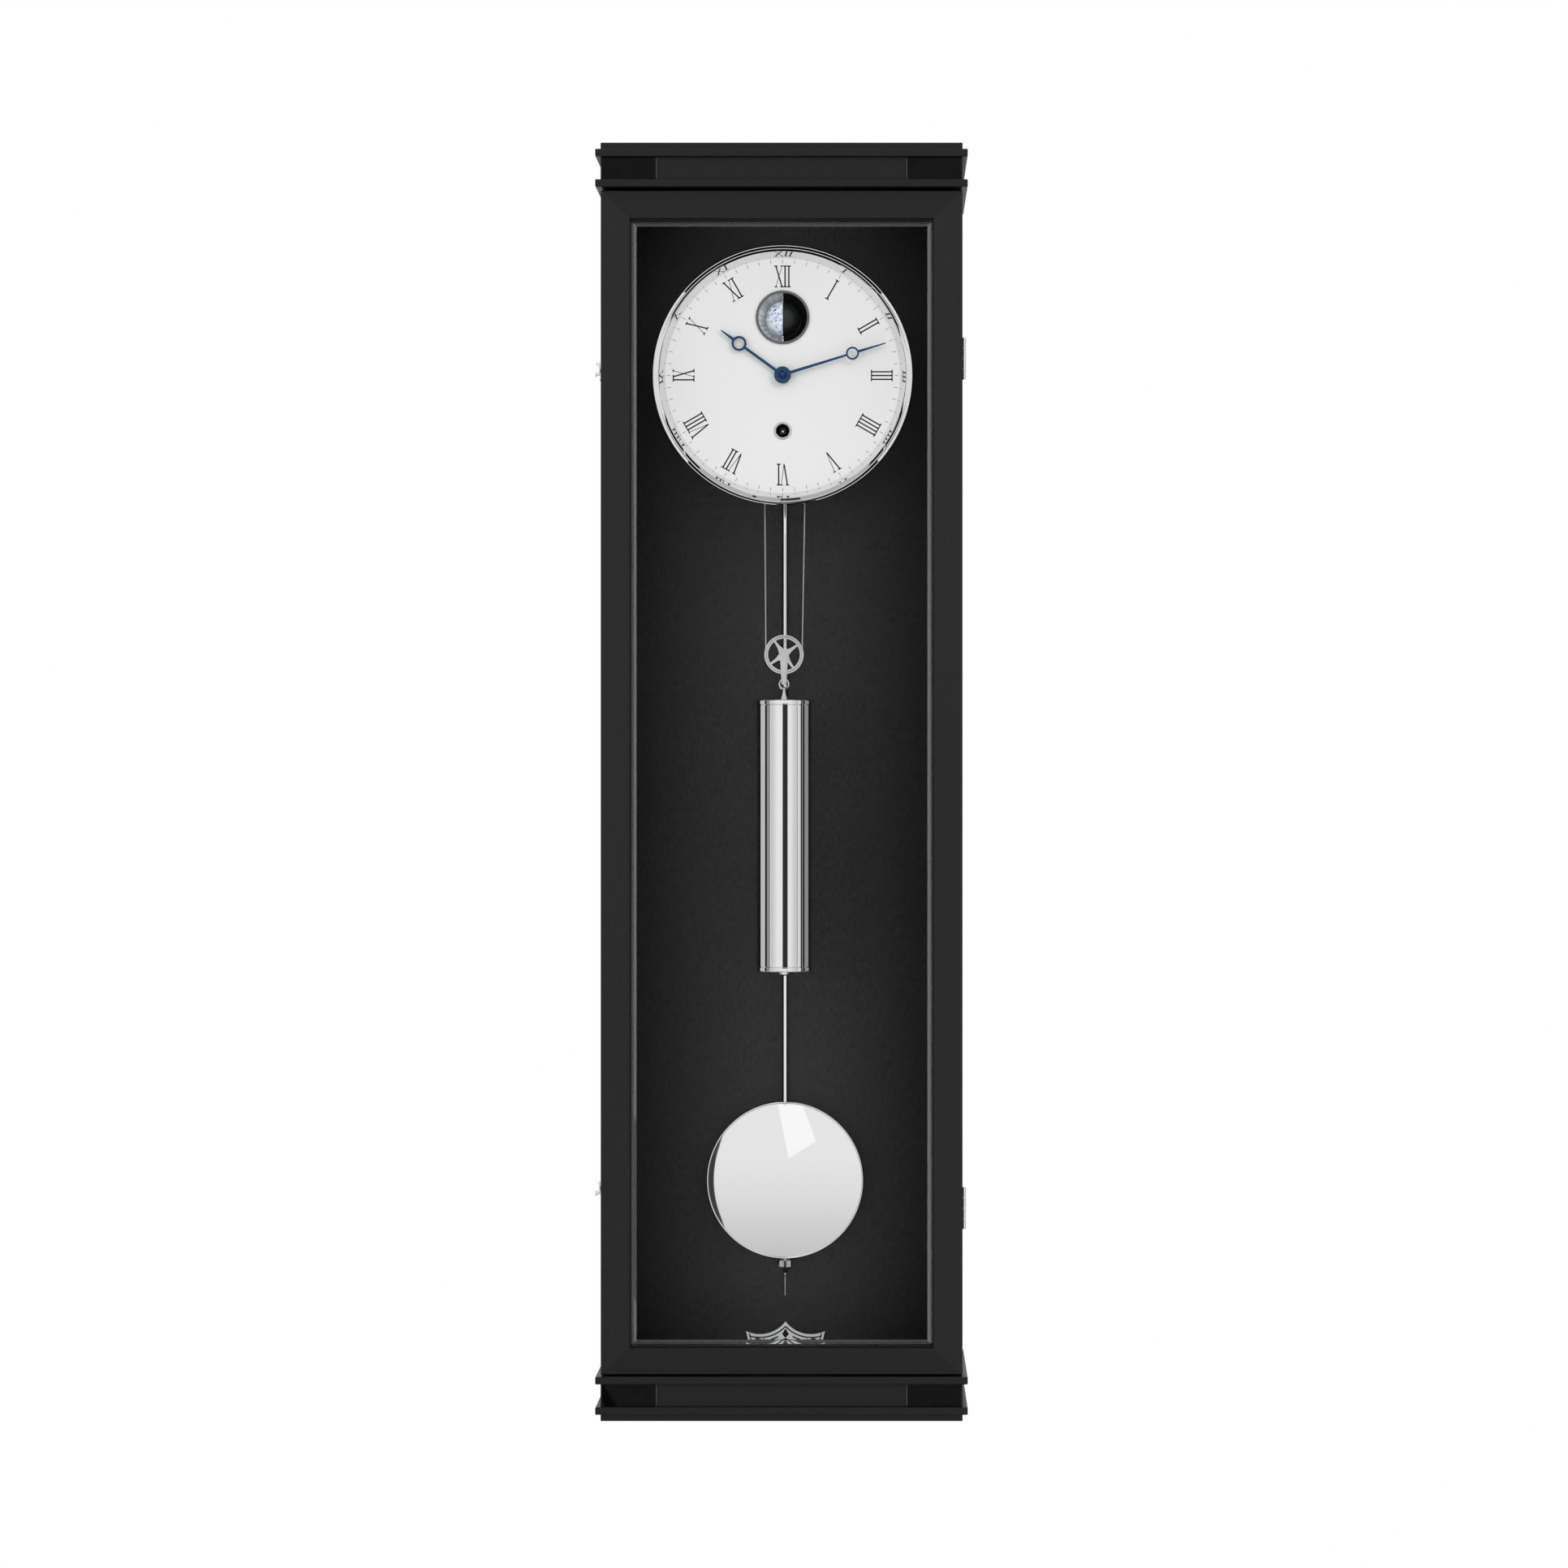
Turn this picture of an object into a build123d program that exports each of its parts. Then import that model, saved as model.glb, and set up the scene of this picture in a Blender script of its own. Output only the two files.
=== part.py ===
from build123d import *
import math
import os

# Wall regulator clock: black case with a glazed door, weight-driven pendulum movement, moon dial.
# Millimetres. The origin is the hanger's keyhole on the wall plane, +Z is up, the front faces -Y.
# A depth is a distance forward from the wall, so depth d lies at y = -d.

os.makedirs("parts", exist_ok=True)

# Case boards
case_width = 286
side_height = 939
side_thickness = 14
back_thickness = 10
cap_thickness = 5.5
ledge_thickness = 6
ledge_overhang = 4
frieze_height = 18
edge_round = 0.8
inlay_length = 42.5
inlay_recess = 1.2
inlay_thickness = 0.9
inlay_border = 1.1
groove_width = 0.9
groove_depth = 0.8
fit_slack = 0.1

# Wall hanger and wood screws
hanger_drop = 70
hanger_width = 46
hanger_height = 44
hanger_thickness = 1.5
keyhole_radius = 5
keyhole_slot_width = 5.4
keyhole_slot_rise = 13
keyhole_pocket_depth = 8
screw_head_radius = 2.7
screw_shank_radius = 1.4
screw_head_drop = 1.3
screw_length = 7
screw_slack = 0.05
hanger_screw_x = 17

# Door
door_gap = 2
door_thickness = 21
door_setback = 5
door_top_gap = 2.2
door_bottom_gap = 1
stile_width = 22.7
sight_round = 1.5
top_rail_height = 21.9
bottom_rail_height = 21
lip_width = 1.4
lip_setback = 5
lip_thickness = 4
rebate_width = 5
glass_thickness = 5
glass_bevel_width = 8.3
glass_bevel_drop = 1.1
glass_slack = 0.3
bead_thickness = 6.5

# Butt hinges on the right, hook latches on the left
hinge_length = 33.5
hinge_drop = 132.9
hinge_rise = 130.5
hinge_leaf_width = 12
hinge_leaf_thickness = 0.95
knuckle_radius = 1.6
knuckle_count = 4
knuckle_gap = 0.25
hinge_pin_radius = 0.8
latch_drop = 146.5
latch_rise = 143.5
latch_plate_thickness = 1.1
latch_plate_length = 26
latch_plate_back = 8
latch_plate_rise = 4
latch_plate_fall = 6.3
latch_stud_inset = 10
latch_reach = 32
latch_stem_radius = 1.1
latch_stem_length = 3.6
latch_head_radius = 2.3
latch_head_thickness = 1.3
hook_thickness = 1.0
hook_gap = 0.2
hook_eye_radius = 3.6
hook_cap_radius = 2.5
hook_pivot_radius = 1.5
hook_arm_height = 3.6
hook_nose = 3.7
hook_depth = 2.6
hook_top = 3.4
hook_tab_length = 1.9
hook_tab_thickness = 1.1
hook_slack = 0.9
hook_lift = 8

# Movement frame, measured from the dial centre
centre_drop = 144.7
plate_width = 88
plate_top = 54
plate_bottom = -66
plate_thickness = 2
back_plate_gap = 18
pillar_length = 34
pillar_radius = 3.5
pillar_x = 37.5
pillar_top = 47
pillar_bottom = -55
bracket_flange_width = 116
bracket_thickness = 4
bracket_rise = 66
bracket_seat_width = 14
bracket_seat_spread = 36
bracket_screw_x = 51
bracket_screw_z = (-60, 56)

# Going train
wheel_thickness = 1.5
pinion_length = 4
great_teeth, great_module = 84, 0.7
intermediate_leaves = 14
intermediate_teeth, intermediate_module = 64, 0.6
centre_leaves = 16
centre_teeth, centre_module = 96, 0.4
third_leaves = 12
third_teeth, third_module = 108, 0.35
escape_leaves = 12
escape_teeth = 30
escape_radius = 15
escape_depth_of_teeth = 2.8
winding_drop = 44.2
escape_rise = 22.5
arbor_radius = 1.2
pivot_radius = 0.7
running_slack = 0.05
shake = 0.2
wheel_rim = 2.2
wheel_hub_radius = 4
wheel_spokes = 4
spoke_width = 2.2
great_gap = 5
great_thickness = 2.5
ratchet_gap = 0.8
drum_length = 17
drum_flange_height = 2.5
drum_flange_thickness = 1.5
drum_arbor_radius = 3
ratchet_teeth = 36
ratchet_radius = 14
ratchet_tooth = 1.2
ratchet_thickness = 2.2
click_stud_radius = 1
click_eye_radius = 2.4
click_clearance = 6
click_angle = 60
click_tip_angle = 28
click_gap = 0.6
winding_square = 4.4
winding_setback = 5
centre_wheel_gap = 12
third_wheel_gap = 19
intermediate_wheel_gap = 4.5
escape_wheel_gap = 3
pallet_arm_width = 2
pallet_shoulder = (14.4, -3.4)
pallet_nib = (11.7, -9.5)
pallet_arbor_gap = 7
crutch_gap = 11
crutch_thickness = 1.6
crutch_width = 4
crutch_length = 52
fork_prong = 1.5
fork_slack = 0.2

# Dial, motion work and hands, measured from the dial centre
dial_radius = 102.5
dial_thickness = 1.5
dial_hole_slack = 0.3
bezel_rim = 1
bezel_lip = 3.5
bezel_cover = 8.7
bezel_setback = 2.75
bezel_height = 10
bezel_skirt = 2.5
dial_foot_radius = 2.5
dial_foot_x = 38
dial_foot_z = (-50, 22)
motion_module = 0.5
cannon_leaves = 20
minute_wheel_teeth = 60
minute_leaves = 16
hour_wheel_teeth = 64
minute_stud_angle = 210
minute_stud_radius = 1.2
centre_front_radius = 1.5
cannon_wall = 1.05
hour_pipe_wall = 1.15
cannon_gap = 1.5
hour_wheel_gap = 2
hour_hand_gap = 2.5
hand_gap = 1.5
hand_thickness = 1.2
hand_hub_radius = 6.7
hour_hand_length = 61
hour_ring_reach = 43
hour_ring_radius = 6
hour_ring_hole = 4.2
hour_arm = (2.3, 2.1)
hour_tip = (2.4, 0.8)
hour_angle = 306
minute_hand_length = 86
minute_ring_reach = 58.4
minute_ring_radius = 5.2
minute_ring_hole = 3.8
minute_arm = (2.5, 1.6)
minute_tip = (2.1, 0.9)
minute_angle = 72.9
nut_radius = 3.25
nut_height = 3.2
moon_rise = 46.5
moon_radius = 14
moon_plate_gap = 3.8
moon_setback = 11
moon_pin_radius = 0.8
moon_throat_gap = 0.9
moon_funnel_flare = 4.5
moon_ring_width = 2
moon_cup_wall = 0.8
moon_funnel_length = 7.5
moon_funnel_lead = 1
moon_ring_proud = 1.7
moon_ring_edge = 0.4
moon_ring_slope = 0.6
moon_star_points = 8
moon_star_radius = 4
moon_star_thickness = 2
grommet_hole = 5.2
grommet_wall = 0.9
grommet_flange = 1.05
grommet_proud = 0.9

# Pendulum: the bob hangs at a height above the case's floor, the rest is measured from the pivot
rod_radius = 2.8
bob_rise = 142.7
bob_back_gap = 8.4
bob_radius = 64.5
bob_rim = 2.5
bob_seam = 0.05
bob_dome = 5.1
rod_head_width = 8
rod_head_top = 4
rod_head_height = 16
spring_thickness = 0.3
spring_width = 8
spring_up = 15
spring_down = 9
post_width = 14
post_bottom = 6
post_height = 13
thread_radius = 2
nut_gap = 0.3
rating_nut_radius = 5.7
rating_nut_height = 7
rating_nut_ribs = 30
rating_nut_rib = 0.35
rating_nut_chamfer = 1.2
rating_neck_radius = 3.7
rating_cone_radius = 1.7
rating_cone_height = 4
rating_bore = 9
thread_reach = 4.5
thread_above = 4.5
pointer_ball_radius = 1.6
pointer_ball_drop = 1.4
pointer_radius = 0.6
pointer_length = 17.3

# Weight, pulley and cable
weight_radius = 22.4
weight_length = 219.7
weight_drop = 258.6
weight_wall = 1.5
weight_cap_height = 3.75
weight_cap_overhang = 0.4
weight_spigot = 6
weight_slack = 0.1
finial_radius = 4.3
finial_height = 3.4
finial_chamfer = 0.9
collar_radius = 4.45
collar_height = 2.8
cone_height = 5
cone_radius = 4.1
cone_top_radius = 1.8
hook_stem = 1.5
hook_wire_radius = 1.35
hook_ring_radius = 3.7
hook_sweep = 290
hook_tip_length = 2.2
hook_tip_taper = 0.9
pulley_rise = 37.1
pulley_cable_radius = 14.7
pulley_lip = 1.2
pulley_width = 5
pulley_rim = 3
pulley_line_inset = 1.5
pulley_line_half = 0.35
pulley_line_depth = 0.4
pulley_hub_radius = 4
pulley_spokes = 4
pulley_spoke_angle = 35
pulley_spoke_halves = (3, 1.3, 0.7)
pulley_waist_reach = 1.8
axle_radius = 1.5
axle_head_radius = 3.55
axle_head_height = 1.2
axle_slot_width = 1
axle_slot_depth = 0.6
strap_thickness = 1.2
strap_gap = 0.5
strap_top_width = 6.5
strap_bottom_width = 4
cross_pin_radius = 1
cable_radius = 0.6
drum_cable_radius = 16
cable_post_x = 17.5
cable_post_z = -60
cable_post_radius = 2.2
cable_post_length = 18

# Beat scale on the back panel
scale_rise = 2.5
scale_half_width = 32.5
scale_foot_x = 29
scale_height = 22
scale_low_x, scale_low_drop = 19.9, 10.5
scale_tip_drop = 8
scale_thickness = 1.2
scale_screw_x = 23
scale_screw_rise = 6

# Heights worked out from the sizes above
plinth_height = cap_thickness + 2 * ledge_thickness + frieze_height
roof_z = hanger_drop - plinth_height
floor_z = roof_z - side_height
bottom_z = floor_z - plinth_height
door_bottom = floor_z + door_bottom_gap
door_top = roof_z - door_top_gap
dial_z = roof_z - centre_drop
hinge_heights = (floor_z + hinge_rise, roof_z - hinge_drop)
latch_heights = (floor_z + latch_rise, roof_z - latch_drop)

# Depths worked out from the back panel forward: pendulum, movement plates, train, motion work, dial
rod_depth = back_thickness + bob_back_gap + bob_rim + bob_dome
pallet_arbor_depth = rod_depth + pallet_arbor_gap
crutch_depth = rod_depth + crutch_gap
back_plate_depth = rod_depth + back_plate_gap
plate_inner_back = back_plate_depth + plate_thickness
front_plate_depth = plate_inner_back + pillar_length
front_plate_face = front_plate_depth + plate_thickness
great_depth = plate_inner_back + great_gap
drum_depth = great_depth + great_thickness + ratchet_gap + ratchet_thickness
weight_depth = drum_depth + drum_length / 2
centre_wheel_depth = plate_inner_back + centre_wheel_gap
third_wheel_depth = plate_inner_back + third_wheel_gap
escape_wheel_depth = plate_inner_back + escape_wheel_gap
intermediate_wheel_depth = front_plate_depth - intermediate_wheel_gap
cannon_depth = front_plate_face + cannon_gap
hour_wheel_depth = cannon_depth + pinion_length + hour_wheel_gap
moon_depth = front_plate_face + moon_plate_gap + moon_cup_wall + 2 * shake + moon_radius
dial_depth = moon_depth + moon_setback
dial_face = dial_depth + dial_thickness
hour_hand_depth = dial_face + hour_hand_gap
minute_hand_depth = hour_hand_depth + hand_thickness + hand_gap
winding_reach = dial_depth - winding_setback
bezel_front = dial_face + bezel_height + bezel_lip / 2

# The case is as deep as the bezel needs, with the door in front of it
case_depth = bezel_front + bezel_setback
door_back = case_depth + door_gap
door_front = door_back + door_thickness
ledge_front = door_front + door_setback
cap_front = ledge_front - ledge_overhang

# Widths and radii worked out from the sizes above
inner_width = case_width - 2 * side_thickness
bezel_radius = dial_radius + bezel_rim
bezel_lip_radius = bezel_radius - bezel_lip
bezel_sight_radius = dial_radius - bezel_cover
cannon_bore_radius = centre_front_radius + running_slack
cannon_radius = cannon_bore_radius + cannon_wall
hour_bore_radius = cannon_radius + running_slack
hour_pipe_radius = hour_bore_radius + hour_pipe_wall
moon_throat_radius = moon_radius + moon_throat_gap
moon_cup_radius = moon_throat_radius + moon_funnel_flare
moon_ring_radius = moon_cup_radius + moon_ring_width
grommet_sleeve = grommet_hole + grommet_wall
grommet_radius = grommet_sleeve + grommet_flange
drum_flange_radius = drum_cable_radius + drum_flange_height
click_orbit = ratchet_radius + click_clearance
pulley_radius = pulley_cable_radius + pulley_lip


def polar(radius, angle):
    return radius * math.cos(math.radians(angle)), radius * math.sin(math.radians(angle))


def facing(depth, x=0, z=0, turn=0):
    # Plane that faces the room at a depth: local x to the right, local y up, growth forward
    right, up = polar(1, turn)
    return Plane(origin=(x, -depth, z), x_dir=(right, 0, up), z_dir=(0, -1, 0))


def left_side(x, depth=0, z=0, turn=0):
    # Plane on the case's left: local x forward, local y up, growth away from the case
    forward, up = polar(1, turn)
    return Plane(origin=(x, -depth, z), x_dir=(0, -forward, up), z_dir=(-1, 0, 0))


def turned(profile, x=0, z=0):
    # Solid turned about a front-to-back axis from (radius, depth) points
    with BuildPart() as lathe:
        with BuildSketch(Plane(origin=(x, 0, z), x_dir=(1, 0, 0), z_dir=(0, 0, -1))):
            with BuildLine():
                Polyline(*profile, close=True)
            make_face()
        revolve(axis=Axis((x, 0, z), (0, -1, 0)))
    return lathe.part


def upright(profile, depth):
    # Solid turned about a vertical axis in the middle of the case from (radius, height) points
    with BuildPart() as lathe:
        with BuildSketch(facing(depth)):
            with BuildLine():
                Polyline(*profile, close=True)
            make_face()
        revolve(axis=Axis((0, -depth, 0), (0, 0, 1)))
    return lathe.part


def rod(radius, start, end, x=0, z=0):
    # Round bar lying front to back between two depths
    return turned([(0, start), (radius, start), (radius, end), (0, end)], x, z)


def direction(start, end):
    return math.degrees(math.atan2(end[1] - start[1], end[0] - start[0]))


def meeting_point(a, reach_a, b, reach_b, side):
    # Point at one reach from a and another from b, right (1) or left (-1) of the line from a to b
    span = math.dist(a, b)
    along = (reach_a**2 - reach_b**2 + span**2) / (2 * span)
    across = math.sqrt(reach_a**2 - along**2)
    ux, uz = (b[0] - a[0]) / span, (b[1] - a[1]) / span
    return a[0] + along * ux + side * across * uz, a[1] + along * uz - side * across * ux


def toothed(teeth, steps, phase):
    # Closed outline that repeats a list of (share of the pitch, radius) steps for each tooth
    pitch = 360 / teeth
    return [
        polar(radius, phase + pitch * (tooth + share))
        for tooth in range(teeth)
        for share, radius in steps
    ]


def wheel_outline(teeth, module, phase):
    # Straight-flanked wheel teeth, one of them pointing along the phase angle
    root, tip = module * (teeth / 2 - 1.25), module * (teeth / 2 + 0.85)
    return toothed(teeth, [(-0.29, root), (-0.09, tip), (0.09, tip), (0.29, root)], phase)


def pinion_outline(leaves, module, phase):
    # Pinion leaves with radial flanks, with a gap along the phase angle
    root, pitch, tip = (module * (leaves / 2 + rise) for rise in (-1.25, 0, 0.8))
    leaf = [(-0.18, root), (-0.18, pitch), (-0.08, tip), (0.08, tip), (0.18, pitch), (0.18, root)]
    return toothed(leaves, [(share + 0.5, radius) for share, radius in leaf], phase)


def outline_face(points):
    with BuildSketch() as face:
        with BuildLine():
            Polyline(*points, close=True)
        make_face()
    return face.sketch


def crossed_face(points, rim_radius, bore=0):
    # Toothed face crossed out to a hub and straight spokes
    with BuildSketch() as face:
        add(outline_face(points))
        Circle(rim_radius, mode=Mode.SUBTRACT)
        with PolarLocations(0, wheel_spokes):
            Rectangle(rim_radius + wheel_rim / 2, spoke_width, align=(Align.MIN, Align.CENTER))
        Circle(wheel_hub_radius)
        if bore:
            Circle(bore, mode=Mode.SUBTRACT)
    return face.sketch


def arbor_profile():
    # Arbor with a shoulder inside each plate and a pivot through it
    start, end = plate_inner_back + shake, front_plate_depth - shake
    pivots = [(0, back_plate_depth), (pivot_radius, back_plate_depth), (pivot_radius, start)]
    body = [(arbor_radius, start), (arbor_radius, end)]
    nose = [(pivot_radius, end), (pivot_radius, front_plate_face), (0, front_plate_face)]
    return pivots + body + nose


def screw_profile(face, inward, slack=0.0):
    # Countersunk wood screw, its head face at a depth, driven forward (1) or towards the wall (-1)
    tip = face + inward * (screw_length + slack)
    return [
        (0, face),
        (screw_head_radius + slack, face),
        (screw_shank_radius + slack, face + inward * screw_head_drop),
        (screw_shank_radius + slack, tip),
        (0, tip),
    ]


def save(builder, name):
    builder.part.label = name
    export_step(builder.part, f"parts/{name}.step")


# Case boards
def board(width, front, thickness, bottom):
    with BuildPart() as plank:
        with Locations((0, 0, bottom)):
            Box(width, front, thickness, align=(Align.CENTER, Align.MAX, Align.MIN))
        level = plank.edges().filter_by(Axis.Z, reverse=True)
        fillet(level.filter_by_position(Axis.Y, -front, -edge_round), edge_round)
    return plank.part


case_top = hanger_drop
base_ledge_z = (bottom_z + cap_thickness, floor_z - ledge_thickness)
cornice_ledge_z = (roof_z, case_top - cap_thickness - ledge_thickness)
frieze_bottoms = {
    "base_frieze": base_ledge_z[0] + ledge_thickness,
    "cornice_frieze": roof_z + ledge_thickness,
}

with BuildPart() as end_caps:
    for cap_bottom in (bottom_z, case_top - cap_thickness):
        add(board(case_width, cap_front, cap_thickness, cap_bottom))
save(end_caps, "end_caps")

ledge_sets = {"base_ledges": base_ledge_z, "cornice_ledges": cornice_ledge_z}
for ledge_name, ledge_bottoms in ledge_sets.items():
    with BuildPart() as ledges:
        for ledge_bottom in ledge_bottoms:
            add(board(case_width + 2 * ledge_overhang, ledge_front, ledge_thickness, ledge_bottom))
    save(ledges, ledge_name)

# Each frieze has a gloss inlay let in at both ends, and a fine groove beside it
inlay_x = case_width / 2 - inlay_border - inlay_length / 2
groove_x = inlay_x - inlay_length / 2 - inlay_border - groove_width / 2
for frieze_name, frieze_bottom in frieze_bottoms.items():
    frieze_middle = frieze_bottom + frieze_height / 2
    with BuildPart() as frieze:
        with Locations((0, 0, frieze_bottom)):
            Box(case_width, cap_front, frieze_height, align=(Align.CENTER, Align.MAX, Align.MIN))
        with BuildSketch(facing(cap_front, 0, frieze_middle)):
            with Locations((-inlay_x, 0), (inlay_x, 0)):
                Rectangle(inlay_length, frieze_height)
        extrude(amount=-inlay_recess, mode=Mode.SUBTRACT)
        with BuildSketch(facing(cap_front, 0, frieze_middle)):
            with Locations((-groove_x, 0), (groove_x, 0)):
                Rectangle(groove_width, frieze_height)
        extrude(amount=-groove_depth, mode=Mode.SUBTRACT)
    save(frieze, frieze_name)

with BuildPart() as frieze_inlays:
    for frieze_bottom in frieze_bottoms.values():
        with BuildSketch(facing(cap_front - inlay_recess, 0, frieze_bottom + frieze_height / 2)):
            with Locations((-inlay_x, 0), (inlay_x, 0)):
                Rectangle(inlay_length - 2 * fit_slack, frieze_height - 2 * fit_slack)
        extrude(amount=inlay_thickness)
save(frieze_inlays, "frieze_inlays")

with BuildPart() as side_panels:
    for side in (-1, 1):
        with Locations((side * (case_width - side_thickness) / 2, 0, floor_z)):
            Box(side_thickness, case_depth, side_height, align=(Align.CENTER, Align.MAX, Align.MIN))
save(side_panels, "side_panels")

# Back panel with the hanger let into its back and room for a screw head in front of the keyhole
hanger_screws = [(-hanger_screw_x, 0), (hanger_screw_x, 0)]
bracket_screws = [
    (x, dial_z + z) for x in (-bracket_screw_x, bracket_screw_x) for z in bracket_screw_z
]
scale_bottom = floor_z + scale_rise
scale_screws = [(x, scale_bottom + scale_screw_rise) for x in (-scale_screw_x, scale_screw_x)]
bracket_face = back_thickness + bracket_thickness
scale_face = back_thickness + scale_thickness
keyhole_rise = keyhole_slot_rise / 2
pocket_width = 2 * keyhole_radius + 6


def cut_screws(spots, face, inward):
    # Countersunk holes for a set of screws, as one tool
    with BuildPart() as drill:
        for x, z in spots:
            add(turned(screw_profile(face, inward, screw_slack), x, z))
    return drill.part


with BuildPart() as back_panel:
    with Locations((0, 0, floor_z)):
        Box(inner_width, back_thickness, side_height, align=(Align.CENTER, Align.MAX, Align.MIN))
    with BuildSketch(facing(0)):
        Rectangle(hanger_width + 2 * fit_slack, hanger_height + 2 * fit_slack)
    extrude(amount=hanger_thickness, mode=Mode.SUBTRACT)
    with BuildSketch(facing(0)):
        with Locations((0, keyhole_rise)):
            SlotCenterToCenter(keyhole_slot_rise, pocket_width, rotation=90)
    extrude(amount=keyhole_pocket_depth, mode=Mode.SUBTRACT)
    add(cut_screws(hanger_screws, 0, 1), mode=Mode.SUBTRACT)
    add(cut_screws(bracket_screws, bracket_face, -1), mode=Mode.SUBTRACT)
    add(cut_screws(scale_screws, scale_face, -1), mode=Mode.SUBTRACT)
save(back_panel, "back_panel")

with BuildPart() as hanger_plate:
    with BuildSketch(facing(0)):
        Rectangle(hanger_width, hanger_height)
        Circle(keyhole_radius, mode=Mode.SUBTRACT)
        with Locations((0, keyhole_rise)):
            SlotCenterToCenter(keyhole_slot_rise, keyhole_slot_width, rotation=90, mode=Mode.SUBTRACT)
    extrude(amount=hanger_thickness)
    add(cut_screws(hanger_screws, 0, 1), mode=Mode.SUBTRACT)
save(hanger_plate, "hanger_plate")

with BuildPart() as case_screws:
    for screw_x, screw_z in hanger_screws:
        add(turned(screw_profile(0, 1), screw_x, screw_z))
    for screw_x, screw_z in bracket_screws:
        add(turned(screw_profile(bracket_face, -1), screw_x, screw_z))
    for screw_x, screw_z in scale_screws:
        add(turned(screw_profile(scale_face, -1), screw_x, screw_z))
save(case_screws, "case_screws")

# Beat scale: a pointed middle between two hollow wings
with BuildPart() as beat_scale:
    with BuildSketch(facing(back_thickness, 0, scale_bottom)):
        with BuildLine():
            apex = (0, scale_height)
            for side in (-1, 1):
                tip = (side * scale_half_width, scale_height - scale_tip_drop)
                ThreePointArc(apex, (side * scale_low_x, scale_height - scale_low_drop), tip)
                Line(tip, (side * scale_foot_x, 0))
            Line((-scale_foot_x, 0), (scale_foot_x, 0))
        make_face()
    extrude(amount=scale_thickness)
    add(cut_screws(scale_screws, scale_face, -1), mode=Mode.SUBTRACT)
save(beat_scale, "beat_scale")


# Door
door_height = door_top - door_bottom
door_middle = (door_top + door_bottom) / 2
sight_width = case_width - 2 * stile_width
sight_bottom = door_bottom + bottom_rail_height
sight_top = door_top - top_rail_height
sight_height = sight_top - sight_bottom
sight_middle = (sight_top + sight_bottom) / 2
lip_back = door_front - lip_setback - lip_thickness
glass_back = lip_back - glass_thickness
bead_back = glass_back - bead_thickness


def sight_rectangle(depth, inset):
    # Rectangle round the door's opening, inset towards its middle (or outset when negative)
    with BuildSketch(facing(depth, 0, sight_middle)) as opening:
        Rectangle(sight_width - 2 * inset, sight_height - 2 * inset)
    return opening.sketch


def frame_member(start, inward, width, length):
    # Straight member from a corner of the door: inward is the way to the glass
    along = Vector(inward).cross(Vector(0, -1, 0))
    lip_end = width + lip_width
    bed = lip_end - rebate_width
    lip_front = lip_back + lip_thickness
    with BuildPart() as member:
        with BuildSketch(Plane(origin=start, x_dir=inward, z_dir=along)) as section:
            with BuildLine():
                Polyline(
                    (0, door_back), (bed, door_back), (bed, lip_back), (lip_end, lip_back),
                    (lip_end, lip_front), (width, lip_front), (width, door_front), (0, door_front),
                    close=True,
                )
            make_face()
            front_corners = section.vertices().group_by(Axis.Y)[-1].sort_by(Axis.X)
            fillet(front_corners[0], edge_round)
            fillet(front_corners[-1], sight_round)
        extrude(amount=length)
    return member.part


def mitred(piece, corners, widths):
    # Piece trimmed to the mitres at its two corners, each (x, z, step in x, step in z) to the glass
    reach = 1 + rebate_width / min(widths)
    with BuildPart() as trimmed:
        add(piece)
        with BuildSketch(facing(door_back)):
            with BuildLine():
                outer = [(x, z) for x, z, step_x, step_z in corners]
                inner = [(x + reach * step_x, z + reach * step_z) for x, z, step_x, step_z in corners]
                Polyline(*outer, *reversed(inner), close=True)
            make_face()
        extrude(amount=door_thickness, mode=Mode.INTERSECT)
    return trimmed.part


half_door = case_width / 2
member_widths = (stile_width, top_rail_height, bottom_rail_height)
corner = {
    (side, level): (side * half_door, edge, -side * stile_width, step)
    for side in (-1, 1)
    for level, edge, step in (
        ("top", door_top, -top_rail_height),
        ("bottom", door_bottom, bottom_rail_height),
    )
}

with BuildPart() as door_stiles:
    right = frame_member((half_door, 0, door_bottom), (-1, 0, 0), stile_width, door_height)
    add(mitred(right, [corner[1, "bottom"], corner[1, "top"]], member_widths))
    left = frame_member((-half_door, 0, door_top), (1, 0, 0), stile_width, door_height)
    add(mitred(left, [corner[-1, "bottom"], corner[-1, "top"]], member_widths))
save(door_stiles, "door_stiles")

with BuildPart() as door_rails:
    lower = frame_member((-half_door, 0, door_bottom), (0, 0, 1), bottom_rail_height, case_width)
    add(mitred(lower, [corner[-1, "bottom"], corner[1, "bottom"]], member_widths))
    upper = frame_member((half_door, 0, door_top), (0, 0, -1), top_rail_height, case_width)
    add(mitred(upper, [corner[-1, "top"], corner[1, "top"]], member_widths))
save(door_rails, "door_rails")

glass_outset = rebate_width - lip_width - glass_slack
with BuildPart() as door_glass:
    extrude(sight_rectangle(glass_back, -glass_outset), amount=glass_thickness - glass_bevel_drop)
    bevel_foot = sight_rectangle(lip_back - glass_bevel_drop, -glass_outset)
    bevel_top = sight_rectangle(lip_back, glass_bevel_width - glass_outset)
    loft([bevel_foot.face(), bevel_top.face()], ruled=True)
save(door_glass, "door_glass")

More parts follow.
